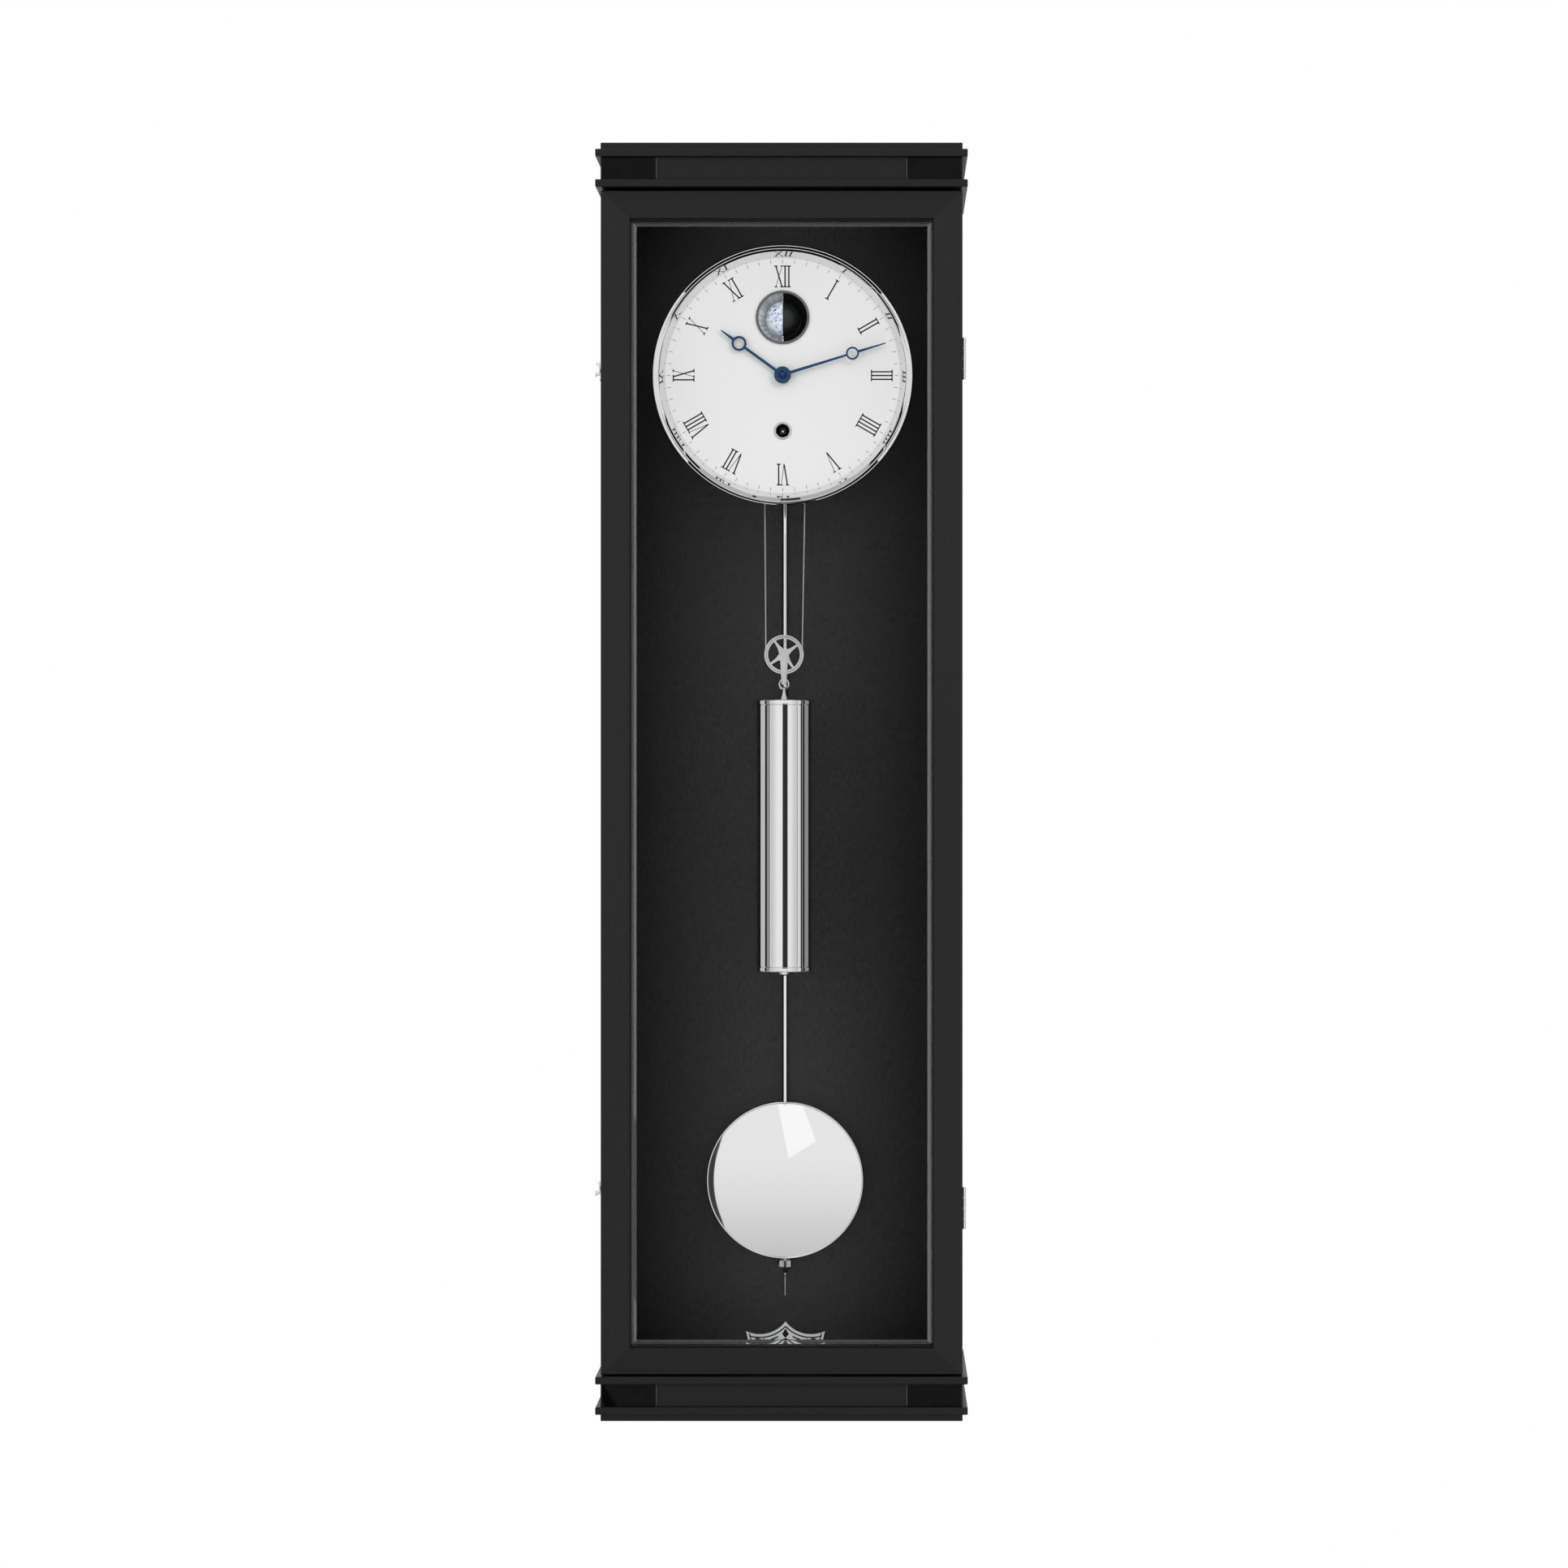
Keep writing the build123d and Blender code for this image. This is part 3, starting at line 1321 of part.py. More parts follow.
# Pendulum
bob_z = floor_z + bob_rise
bob_bottom = bob_z - bob_radius
nut_top = bob_bottom - nut_gap
nut_bottom = nut_top - rating_nut_height
cone_bottom = nut_bottom - rating_cone_height
ball_z = cone_bottom - pointer_ball_drop
rod_end = nut_top - thread_reach
thread_top = bob_bottom + thread_above
head_top = pendulum_z - rod_head_top
with BuildPart() as pendulum_rod:
    add(upright(
        [
            (0, rod_end), (thread_radius, rod_end), (thread_radius, thread_top),
            (rod_radius, thread_top), (rod_radius, head_top), (0, head_top),
        ],
        rod_depth,
    ))
    with Locations((0, -rod_depth, head_top)):
        hanging = (Align.CENTER, Align.CENTER, Align.MAX)
        Box(rod_head_width, rod_head_width, rod_head_height, align=hanging)
    with BuildSketch(facing(rod_depth - spring_width / 2 - fit_slack, 0, head_top)):
        slit_depth = spring_down - rod_head_top + fit_slack
        Rectangle(spring_thickness + fit_slack, slit_depth, align=(Align.CENTER, Align.MAX))
    extrude(amount=spring_width + 2 * fit_slack, mode=Mode.SUBTRACT)
save(pendulum_rod, "pendulum_rod")

# Two domed shells closed on the rod, front and back alike
dome_sphere = (bob_radius**2 + bob_dome**2) / (2 * bob_dome)
with BuildPart() as bob_shells:
    for side in (-1, 1):
        half_chord = bob_radius / 2
        rise = math.sqrt(dome_sphere**2 - half_chord**2) - dome_sphere + bob_dome
        with BuildSketch(Plane(origin=(0, 0, bob_z), x_dir=(1, 0, 0), z_dir=(0, 0, -1))):
            with BuildLine():
                rim = (bob_radius, rod_depth + side * bob_rim)
                crown = (0, rod_depth + side * (bob_rim + bob_dome))
                seam = rod_depth + side * bob_seam
                Polyline(crown, (0, seam), (bob_radius, seam), rim)
                ThreePointArc(rim, (half_chord, rod_depth + side * (bob_rim + rise)), crown)
            make_face()
        revolve(axis=Axis((0, 0, bob_z), (0, -1, 0)), mode=Mode.ADD)
    with Locations((0, -rod_depth, bob_z)):
        Cylinder(rod_radius + running_slack, 3 * bob_radius, mode=Mode.SUBTRACT)
save(bob_shells, "bob_shells")

# Rating nut: ribbed sides, a cone below, bored from its top for the rod's thread
with BuildPart() as rating_nut:
    chamfer_radius = rating_nut_radius - rating_nut_chamfer
    add(upright(
        [
            (0, cone_bottom), (rating_cone_radius, cone_bottom), (rating_neck_radius, nut_bottom),
            (chamfer_radius, nut_bottom), (rating_nut_radius, nut_bottom + rating_nut_chamfer),
            (rating_nut_radius, nut_top - rating_nut_chamfer), (chamfer_radius, nut_top), (0, nut_top),
        ],
        rod_depth,
    ))
    with BuildSketch(Plane.XY.offset(cone_bottom)):
        with Locations((0, -rod_depth)):
            ribs = [(0, rating_nut_radius), (0.5, rating_nut_radius - rating_nut_rib)]
            add(outline_face(toothed(rating_nut_ribs, ribs, 0)))
    extrude(amount=nut_top - cone_bottom, mode=Mode.INTERSECT)
    with BuildSketch(Plane.XY.offset(nut_top - rating_bore)):
        with Locations((0, -rod_depth)):
            Circle(thread_radius + running_slack)
    extrude(amount=rating_bore, mode=Mode.SUBTRACT)
save(rating_nut, "rating_nut")

with BuildPart() as pointer_tip:
    with Locations((0, -rod_depth, ball_z)):
        Sphere(pointer_ball_radius)
    with BuildSketch(Plane.XY.offset(ball_z - pointer_length)):
        with Locations((0, -rod_depth)):
            Circle(pointer_radius)
    extrude(amount=pointer_length)
    split(bisect_by=Plane.XY.offset(cone_bottom), keep=Keep.BOTTOM)
save(pointer_tip, "pointer_tip")


# Weight, pulley and cable
weight_top = dial_z - weight_drop
weight_bottom = weight_top - weight_length
cap_radius = weight_radius + weight_cap_overhang
bore_radius = weight_radius - weight_wall
shell_top = weight_top - weight_cap_height
shell_bottom = weight_bottom + weight_cap_height
with BuildPart() as weight_shell:
    add(upright(
        [
            (bore_radius, shell_bottom), (weight_radius, shell_bottom),
            (weight_radius, shell_top), (bore_radius, shell_top),
        ],
        weight_depth,
    ))
save(weight_shell, "weight_shell")

spigot_radius = bore_radius - weight_slack
with BuildPart() as weight_caps:
    for outer, shoulder, sign in ((weight_top, shell_top, -1), (weight_bottom, shell_bottom, 1)):
        end = shoulder + sign * weight_spigot
        edge = outer + sign * edge_round
        add(upright(
            [
                (0, outer), (cap_radius - edge_round, outer), (cap_radius, edge),
                (cap_radius, shoulder), (spigot_radius, shoulder), (spigot_radius, end), (0, end),
            ],
            weight_depth,
        ))
    foot = weight_bottom - finial_height
    foot_radius = finial_radius - finial_chamfer
    add(upright(
        [
            (0, foot), (foot_radius, foot), (finial_radius, foot + finial_chamfer),
            (finial_radius, weight_bottom), (0, weight_bottom),
        ],
        weight_depth,
    ))
save(weight_caps, "weight_caps")

with BuildPart() as weight_core:
    core_top, core_bottom = shell_top - weight_spigot, shell_bottom + weight_spigot
    core_side = [(spigot_radius, core_bottom), (spigot_radius, core_top)]
    add(upright([(0, core_bottom), *core_side, (0, core_top)], weight_depth))
save(weight_core, "weight_core")

# Hook screwed into the upper cap, open at its right
collar_top = weight_top + collar_height
cone_top = collar_top + cone_height
stem_top = cone_top + hook_stem
hook_z = stem_top + hook_ring_radius
with BuildPart() as weight_hook:
    add(upright(
        [
            (0, weight_top), (collar_radius, weight_top), (collar_radius, collar_top),
            (cone_radius, collar_top), (cone_top_radius, cone_top),
            (cone_top_radius, stem_top), (0, stem_top),
        ],
        weight_depth,
    ))
    with Locations((0, -weight_depth, stem_top)):
        Sphere(cone_top_radius)
    with BuildLine(facing(weight_depth, 0, hook_z)) as hook_line:
        hook_arc = CenterArc((0, 0), hook_ring_radius, -90, -hook_sweep)
    with BuildSketch(Plane(origin=hook_arc @ 0, z_dir=hook_arc % 0)):
        Circle(hook_wire_radius)
    sweep(path=hook_line.line)
    with BuildSketch(Plane(origin=hook_arc @ 1, z_dir=hook_arc % 1)):
        Circle(hook_wire_radius)
    tip_taper = math.degrees(math.atan(hook_wire_radius * hook_tip_taper / hook_tip_length))
    extrude(amount=hook_tip_length, taper=tip_taper)
save(weight_hook, "weight_hook")

pulley_z = weight_top + pulley_rise
groove_radius = pulley_cable_radius - cable_radius - running_slack
pulley_back = weight_depth - pulley_width / 2
pulley_front = weight_depth + pulley_width / 2
with BuildPart() as pulley:
    rim_inner = pulley_radius - pulley_rim
    groove_half = cable_radius + fit_slack
    back_lip, front_lip = weight_depth - 2 * groove_half, weight_depth + 2 * groove_half
    line_radius = pulley_radius - pulley_line_inset
    add(turned(
        [
            (rim_inner, pulley_back), (pulley_radius, pulley_back), (pulley_radius, back_lip),
            (groove_radius, weight_depth - groove_half), (groove_radius, weight_depth + groove_half),
            (pulley_radius, front_lip), (pulley_radius, pulley_front),
            (line_radius + pulley_line_half, pulley_front), (line_radius, pulley_front - pulley_line_depth),
            (line_radius - pulley_line_half, pulley_front), (rim_inner, pulley_front),
        ],
        0, pulley_z,
    ))
    with BuildSketch(facing(pulley_back + shake, 0, pulley_z, pulley_spoke_angle)):
        root, waist = pulley_hub_radius / 2, pulley_hub_radius * pulley_waist_reach
        ends = (root, waist, rim_inner + pulley_rim / 4)
        spoke = list(zip(ends, pulley_spoke_halves))
        Circle(pulley_hub_radius)
        with PolarLocations(0, pulley_spokes):
            add(outline_face([*spoke, *[(x, -y) for x, y in reversed(spoke)]]))
    extrude(amount=pulley_width - 2 * shake)
    with BuildSketch(facing(pulley_back, 0, pulley_z)):
        Circle(axle_radius + running_slack)
    extrude(amount=pulley_width, mode=Mode.SUBTRACT)
save(pulley, "pulley")

cross_pin_z = hook_z + hook_ring_radius - hook_wire_radius - cross_pin_radius - fit_slack
strap_back = pulley_back - strap_gap - strap_thickness
strap_front = pulley_front + strap_gap
top, low = strap_top_width / 2, strap_bottom_width / 2
with BuildPart() as pulley_stirrup:
    for strap_depth in (strap_back, strap_front):
        with BuildSketch(facing(strap_depth)):
            with BuildLine():
                right_edge = [(top, pulley_z), (low, cross_pin_z)]
                Polyline(*right_edge, *[(-x, z) for x, z in reversed(right_edge)], close=True)
            make_face()
            with Locations((0, pulley_z)):
                Circle(top)
            with Locations((0, cross_pin_z)):
                Circle(low)
        extrude(amount=strap_thickness)
    strap_face = strap_front + strap_thickness
    add(rod(axle_radius, strap_back, strap_face, 0, pulley_z))
    add(rod(cross_pin_radius, strap_back, strap_face, 0, cross_pin_z))
    add(rod(axle_head_radius, strap_face, strap_face + axle_head_height, 0, pulley_z))
    with BuildSketch(facing(strap_face + axle_head_height, 0, pulley_z, pulley_spoke_angle)):
        Rectangle(2 * axle_head_radius, axle_slot_width)
    extrude(amount=-axle_slot_depth, mode=Mode.SUBTRACT)
save(pulley_stirrup, "pulley_stirrup")

# Steel cable: over the drum, down the left, under the pulley and up the right to its post
drum_z = dial_z + drum_at[1]
cable_drop = drum_z - pulley_z
left_lean = math.degrees(math.asin((drum_cable_radius - pulley_cable_radius) / cable_drop))
post_reach = (cable_post_x, dial_z + cable_post_z - cable_post_radius - fit_slack - pulley_z)
right_lean = math.degrees(math.atan2(post_reach[1], post_reach[0]))
right_lean -= math.degrees(math.acos(pulley_cable_radius / math.hypot(*post_reach)))
with BuildPart() as cable:
    with BuildLine(facing(weight_depth)) as cable_line:
        over = CenterArc((0, drum_z), drum_cable_radius, 0, 180 + left_lean)
        under_turn = 180 - left_lean + right_lean
        under = CenterArc((0, pulley_z), pulley_cable_radius, 180 + left_lean, under_turn)
        Line(over @ 1, under @ 0)
        Line(under @ 1, (post_reach[0], pulley_z + post_reach[1]))
    with BuildSketch(Plane(origin=over @ 0, z_dir=over % 0)):
        Circle(cable_radius)
    sweep(path=cable_line.wire())
save(cable, "cable")
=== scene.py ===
import math

import bmesh
import bpy
from mathutils import Matrix, Vector


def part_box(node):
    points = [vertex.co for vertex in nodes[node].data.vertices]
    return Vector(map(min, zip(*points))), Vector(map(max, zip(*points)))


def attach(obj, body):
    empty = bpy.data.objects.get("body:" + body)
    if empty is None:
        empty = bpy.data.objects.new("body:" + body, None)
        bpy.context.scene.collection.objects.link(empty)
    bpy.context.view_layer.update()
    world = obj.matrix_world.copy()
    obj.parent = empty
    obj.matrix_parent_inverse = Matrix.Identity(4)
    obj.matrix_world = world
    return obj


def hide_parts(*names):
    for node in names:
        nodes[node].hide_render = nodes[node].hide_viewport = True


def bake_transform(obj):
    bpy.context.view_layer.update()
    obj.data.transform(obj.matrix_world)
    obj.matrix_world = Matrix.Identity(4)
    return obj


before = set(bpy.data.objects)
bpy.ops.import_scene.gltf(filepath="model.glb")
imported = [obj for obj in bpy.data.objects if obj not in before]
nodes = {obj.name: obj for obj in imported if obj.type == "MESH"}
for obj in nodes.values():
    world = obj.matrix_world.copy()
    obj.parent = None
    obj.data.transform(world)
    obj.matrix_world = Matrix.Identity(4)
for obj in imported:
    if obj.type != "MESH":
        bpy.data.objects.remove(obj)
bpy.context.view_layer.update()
mm = 0.001  # the frame is in metres, sizes below are written in millimetres
print("frame loaded with", len(nodes), "nodes")


def nodeBox(node):
    low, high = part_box(node)
    return low / mm, high / mm


dialLow, dialHigh = nodeBox("dial_plate")
dialFace = dialLow.y  # front of the dial, towards the room
dialZ = ((dialLow + dialHigh) / 2).z


# Materials

def linearColour(code):
    channels = [int(code[i:i + 2], 16) / 255 for i in (1, 3, 5)]
    return (*[c / 12.92 if c <= 0.04045 else ((c + 0.055) / 1.055) ** 2.4 for c in channels], 1.0)


def grey(level):
    return (level, level, level, 1.0)


def addNode(owner, kind, settings=(), inputs=(), links=(), tones=()):
    node = owner.node_tree.nodes.new(kind)
    for name, value in dict(settings).items():
        setattr(node, name, value)
    for socket, value in dict(inputs).items():
        node.inputs[socket].default_value = value
    for socket, source in dict(links).items():
        owner.node_tree.links.new(source, node.inputs[socket])
    if tones:  # the stops of a colour ramp in order, each a hex colour or a grey level
        stops = node.color_ramp.elements
        stops[0].position, stops[1].position = tones[0][0], tones[-1][0]
        for spot, _ in tones[1:-1]:
            stops.new(spot)
        for stop, (_, tone) in zip(stops, tones):
            stop.color = linearColour(tone) if isinstance(tone, str) else grey(tone)
    return node


def startMaterial(name, **sockets):
    material = bpy.data.materials.new(name)
    material.use_nodes = True
    shader = material.node_tree.nodes["Principled BSDF"]
    for socket, value in sockets.items():
        shader.inputs[socket.replace("_", " ")].default_value = value
    return material, shader


def join(owner, source, target):
    owner.node_tree.links.new(source, target)


def realSize(material, size):
    # coordinates in which one unit is the given number of millimetres along each axis
    place = addNode(material, "ShaderNodeTexCoord")
    spot = addNode(material, "ShaderNodeMapping", {"vector_type": "POINT"},
                   {"Scale": [1000 / s for s in size]}, {"Vector": place.outputs["Object"]})
    return spot.outputs["Vector"]


def grain(material, size, **settings):
    noise = addNode(material, "ShaderNodeTexNoise", inputs={"Scale": 1, **settings},
                    links={"Vector": realSize(material, size)})
    return noise.outputs["Fac"]


def skin(material, shader, pattern, tones=(), gloss=(), relief=(), reach=(0.3, 0.7)):
    # one pattern drives what is given: colours, roughness from low to high over the reach in which
    # most of the pattern lies, and a relief with its strength and its depth in millimetres
    if tones:
        ramp = addNode(material, "ShaderNodeValToRGB", links={"Fac": pattern}, tones=tones)
        join(material, ramp.outputs["Color"], shader.inputs["Base Color"])
    if gloss:
        spread = dict(zip(("From Min", "From Max", "To Min", "To Max"), (*reach, *gloss)))
        rough = addNode(material, "ShaderNodeMapRange", inputs=spread, links={"Value": pattern})
        join(material, rough.outputs["Result"], shader.inputs["Roughness"])
    if relief:
        bump = addNode(material, "ShaderNodeBump", links={"Height": pattern},
                       inputs={"Strength": relief[0], "Distance": relief[1] * mm})
        join(material, bump.outputs["Normal"], shader.inputs["Normal"])


acrossAxis, upAxis = 0, 2  # the ways that a grain can run
lacquerLook = {
    "grain": 0.9,  # mm across one pore of the veneer
    "length": 5,  # mm along it
    "rough": (0.36, 0.46),
    "relief": (0.05, 0.2),
}


def blackLacquer(name, along, dark, light, contrast, ior):
    # satin black lacquer sprayed on open-pored veneer: soft sheen, the pores show as fine streaks
    material, shader = startMaterial(name, IOR=ior)
    size = [lacquerLook["grain"]] * 3
    size[along] = lacquerLook["length"]
    pores = grain(material, size, Detail=5, Roughness=0.62)
    tones = [(0.5 - contrast / 2, dark), (0.5 + contrast / 2, light)]
    skin(material, shader, pores, tones, lacquerLook["rough"], lacquerLook["relief"])
    return material


uprightLacquer = blackLacquer("satinBlackLacquerUpright", upAxis, "#0E0E0F", "#1C1C1D", 0.5, 1.335)
# the level boards get darker tones and a lower sheen than the upright ones: painted shade, as they
# catch less light
levelLacquerPaintedShade = blackLacquer("satinBlackLacquerLevelPaintedShade", acrossAxis, "#0B0B0C", "#18181A", 0.5, 1.315)
# the strips beside the inlays get a lighter copy of the black lacquer: a painted highlight
stripLacquerPaintedHighlight = blackLacquer("satinBlackLacquerStripPaintedHighlight", upAxis, "#2E2E2F", "#3E3E3F", 0.5, 1.4)
panelLacquer = blackLacquer("satinBlackLacquerPanel", upAxis, "#080808", "#202020", 0.36, 1.26)


def polishedMetal(name, colour, rough, haze, patch):
    # plated and buffed metal: a mirror with faint buffing clouds in its gloss
    material, shader = startMaterial(name, Base_Color=linearColour(colour), Metallic=1.0)
    clouds = grain(material, [patch] * 3, Detail=3)
    skin(material, shader, clouds, gloss=(rough, rough + haze))
    return material


chrome = polishedMetal("polishedChrome", "#EAEAEB", 0.02, 0.02, 25)  # a clear mirror
satinNickel = polishedMetal("satinNickel", "#CFD0D1", 0.24, 0.04, 12)  # a soft, even shine
brass = polishedMetal("lacqueredBrass", "#CDAA5C", 0.16, 0.1, 8)  # warm and a little hazy
tarnishedBrass = polishedMetal("tarnishedBrass", "#4A3B20", 0.5, 0.1, 6)  # brown and dull
smokedNickel = polishedMetal("smokedNickel", "#6C6D6F", 0.22, 0.1, 4)  # dark grey, smooth
darkSteelPaintedShade = polishedMetal("paintedShadeSteel", "#3A3B3D", 0.3, 0.1, 3)  # nearly black: painted shade for the arbor end deep in the winding hole
bluedSteel = polishedMetal("bluedSteel", "#2B4A69", 0.2, 0.08, 3)  # heat-blued, satin
bluedNut = polishedMetal("polishedBluedSteel", "#35477C", 0.08, 0.05, 3)  # heat-blued, bright

brushLook = {
    "scratch": 0.35,  # mm across one scratch, drawn a little coarse so that it shows
    "length": 18,
    "dark": "#8F9193",
    "light": "#B4B6B8",
    "rough": (0.28, 0.40),
}


def brushedSheet(name, along):
    # rolled steel sheet: fine scratches along one way
    material, shader = startMaterial(name, Metallic=1.0)
    size = [brushLook["scratch"]] * 3
    size[along] = brushLook["length"]
    scratches = grain(material, size, Detail=2)
    tones = [(0.3, brushLook["dark"]), (0.7, brushLook["light"])]
    skin(material, shader, scratches, tones, brushLook["rough"])
    return material


brushedSteel = brushedSheet("brushedSteel", acrossAxis)


def speckled(name, dark, light, grit, rough, **sockets):
    # sprayed, printed or cast skin: even colour with a fine grit in it
    material, shader = startMaterial(name, Roughness=rough, **sockets)
    specks = grain(material, [grit] * 3, Detail=4)
    skin(material, shader, specks, [(0.35, dark), (0.65, light)], relief=(0.04, 0.1))
    return material


dialPaint = speckled("whiteDialLacquer", "#E9E9E9", "#EFEFEF", 0.6, 0.5, IOR=1.3)  # flat white
dialInk = speckled("printedBlackInk", "#131314", "#1E1E1F", 0.5, 0.55, IOR=1.3)  # matt black
trackInk = speckled("printedGreyInk", "#6A6C6E", "#7A7C7E", 0.5, 0.55, IOR=1.3)  # thin, so grey
# polished inlay: a dark, sharp mirror
glossInlay = speckled("glossBlackInlay", "#030303", "#090909", 9, 0.05, Specular_IOR_Level=0.09)
silveredPlate = speckled("silveredScalePlate", "#E0E1E2", "#EAEBEC", 0.8, 0.4)  # pale and matt
castIron = speckled("castIron", "#2B2C2D", "#3C3D3E", 1.2, 0.7)  # rough and dark
# float glass with a low-reflection coating: hardly seen face on
paneGlass = speckled("lowReflectionGlass", "#0F1112", "#131516", 30, 0.02, IOR=1.5, Alpha=0.015)
print("plain materials made")


def bevelGlass(name, specular, coat):
    # ground and polished bevel of float glass: bends what is behind it and catches the light
    material, shader = startMaterial(name, Base_Color=linearColour("#EEF4F2"), IOR=1.5,
                                     Transmission_Weight=1.0, Specular_IOR_Level=specular,
                                     Coat_Weight=coat, Coat_Roughness=0.03)
    haze = grain(material, [12] * 3, Detail=2)
    skin(material, shader, haze, gloss=(0.0, 0.06), reach=(0, 1))
    return material


# one glass with two strengths of reflection: the side facets reflect more, a painted reflection,
# and the level facets less, painted shade
sideBevelGlassPaintedReflection = bevelGlass("polishedBevelSidePaintedReflection", 1.0, 1.0)
levelBevelGlassPaintedShade = bevelGlass("polishedBevelLevelPaintedShade", 0.35, 0.0)

moonLook = {
    "pale": "#E6ECF2",
    "blue": "#B3C3DA",
    "deep": "#5D78AE",
    "night": "#17181A",
    "sea": 3.0,  # mm across one dark patch
    "rise": 46.5,  # mm from the dial's middle up to the moon's
}


def nightHalf(material, pale):
    # the half to the right of the moon's pin is black
    place = addNode(material, "ShaderNodeTexCoord")
    split = addNode(material, "ShaderNodeSeparateXYZ", links={"Vector": place.outputs["Object"]})
    right = addNode(material, "ShaderNodeMath", {"operation": "GREATER_THAN"}, {1: 0.0},
                    {0: split.outputs["X"]})
    halves = addNode(material, "ShaderNodeMix", {"data_type": "RGBA"},
                     {7: linearColour(moonLook["night"])}, {0: right.outputs["Value"], 6: pale})
    return halves.outputs[2]


def moonEnamel():
    # fired enamel: a pale half with cobalt clouds, the other half satin black
    material, shader = startMaterial("firedMoonEnamel", Roughness=0.32, IOR=1.45)
    seas = grain(material, [moonLook["sea"]] * 3, Detail=6, Roughness=0.68)
    pale = addNode(material, "ShaderNodeValToRGB", links={"Fac": seas}, tones=[
        (0.38, moonLook["deep"]), (0.46, moonLook["blue"]), (0.53, moonLook["pale"])])
    join(material, nightHalf(material, pale.outputs["Color"]), shader.inputs["Base Color"])
    return material


moonPaint = moonEnamel()


def spunSheet():
    # silver lacquer on spun sheet: faint rays run out from its middle, its night half is black
    material, shader = startMaterial("silverLacquer", Roughness=0.42)
    place = addNode(material, "ShaderNodeTexCoord")
    flat = addNode(material, "ShaderNodeMapping", {"vector_type": "POINT"},
                   {"Location": (0, 0, -(dialZ + moonLook["rise"]) * mm), "Scale": (1, 0, 1)},
                   {"Vector": place.outputs["Object"]})
    ray = addNode(material, "ShaderNodeVectorMath", {"operation": "NORMALIZE"},
                  links={0: flat.outputs["Vector"]})
    rays = addNode(material, "ShaderNodeTexNoise", inputs={"Scale": 9, "Detail": 3},
                   links={"Vector": ray.outputs["Vector"]})
    silver = addNode(material, "ShaderNodeValToRGB", links={"Fac": rays.outputs["Fac"]},
                     tones=[(0.35, "#B4B5B6"), (0.65, "#EDEEEF")])
    join(material, nightHalf(material, silver.outputs["Color"]), shader.inputs["Base Color"])
    return material


silverLacquer = spunSheet()

cableLook = {
    "strand": 0.9,  # mm between the strands of the steel rope
    "radius": 0.6,
    "sides": 10,
    "pulleyRadius": 14.7,  # to the middle of the cable
    "drumRadius": 16,
    "drumDrop": 44.2,  # from the dial's middle
    "post": (17.5, 62.25),  # where its end is tied off: across, and down from the dial's middle
    "runSteps": 30,
    "arcSteps": 28,
    "keep": (15, 20),  # lengths at the post and the pulley that don't stretch
}


def steelRope():
    # stranded wire rope: bright steel, with the slanting gaps between its strands darker as
    # painted shade
    material, shader = startMaterial("steelRope", Metallic=1.0, Roughness=0.3)
    lay = addNode(material, "ShaderNodeTexWave", {"bands_direction": "DIAGONAL"}, {"Scale": 0.5},
                  {"Vector": realSize(material, [cableLook["strand"]] * 3)})
    skin(material, shader, lay.outputs["Fac"], [(0.1, "#A9ABAD"), (0.6, "#ECEDEE")])
    return material


ropeSteel = steelRope()

finishes = {
    uprightLacquer: ("side_panels", "door_stiles", "glazing_beads"),
    panelLacquer: ("back_panel",),
    levelLacquerPaintedShade: ("end_caps", "base_ledges", "base_frieze", "cornice_ledges", "cornice_frieze",
                   "door_rails"),
    glossInlay: ("frieze_inlays",),
    brushedSteel: ("hanger_plate", "case_screws", "movement_bracket", "dial_feet",
                   "suspension_post", "cable_post", "suspension_spring", "click"),
    silveredPlate: ("beat_scale",),
    chrome: ("hinge_case_leaves", "hinge_pins", "hinge_door_leaves", "latch_plates", "latch_studs",
             "upper_hook", "lower_hook", "bezel", "moon_cup", "winding_grommet", "pendulum_rod",
             "bob_shells", "weight_shell", "weight_caps"),
    darkSteelPaintedShade: ("drum",),
    satinNickel: ("weight_hook", "pulley_stirrup", "pulley", "rating_nut", "pointer_tip"),
    brass: ("back_plate", "movement_pillars", "pallet_arbor", "great_wheel", "intermediate_arbor",
            "centre_arbor", "third_arbor", "escape_arbor", "cannon_pinion", "minute_wheel",
            "hour_wheel"),
    tarnishedBrass: ("front_plate",),
    bluedSteel: ("minute_hand", "hour_hand"),
    bluedNut: ("hand_nut",),
    dialPaint: ("dial_plate",),
    paneGlass: ("door_glass",),
    castIron: ("weight_core",),
    moonPaint: ("moon_ball",),
    ropeSteel: ("cable",),
}
for finish, names in finishes.items():
    for name in names:
        nodes[name].data.materials.clear()
        nodes[name].data.materials.append(finish)
print("CAD nodes finished")


# Modelling helpers

weldGap = 0.002  # mm, points closer than this become one


def startPiece(name, add, **settings):
    bpy.ops.object.select_all(action="DESELECT")
    add(**settings)
    piece = bpy.context.object
    piece.name = piece.data.name = name
    bpy.ops.object.mode_set(mode="EDIT")
    bpy.context.tool_settings.mesh_select_mode = (True, False, False)
    return piece


def startLine(name, points):
    # a chain of points in metres: a plane merged to one point, then drawn out from place to place
    piece = startPiece(name, bpy.ops.mesh.primitive_plane_add, size=mm)
    bpy.ops.mesh.merge(type="CENTER")
    bpy.ops.transform.translate(value=points[0])
    for here, there in zip(points, points[1:]):
        bpy.ops.mesh.extrude_vertices_move(TRANSFORM_OT_translate={"value": there - here})
    bpy.ops.mesh.select_all(action="SELECT")
    return piece


def choosePoints(test):
    mesh = bmesh.from_edit_mesh(bpy.context.object.data)
    for point in mesh.verts:
        point.select_set(bool(test(point.co / mm)))
    mesh.select_flush(True)
    mesh.select_flush(False)
    bmesh.update_edit_mesh(bpy.context.object.data)


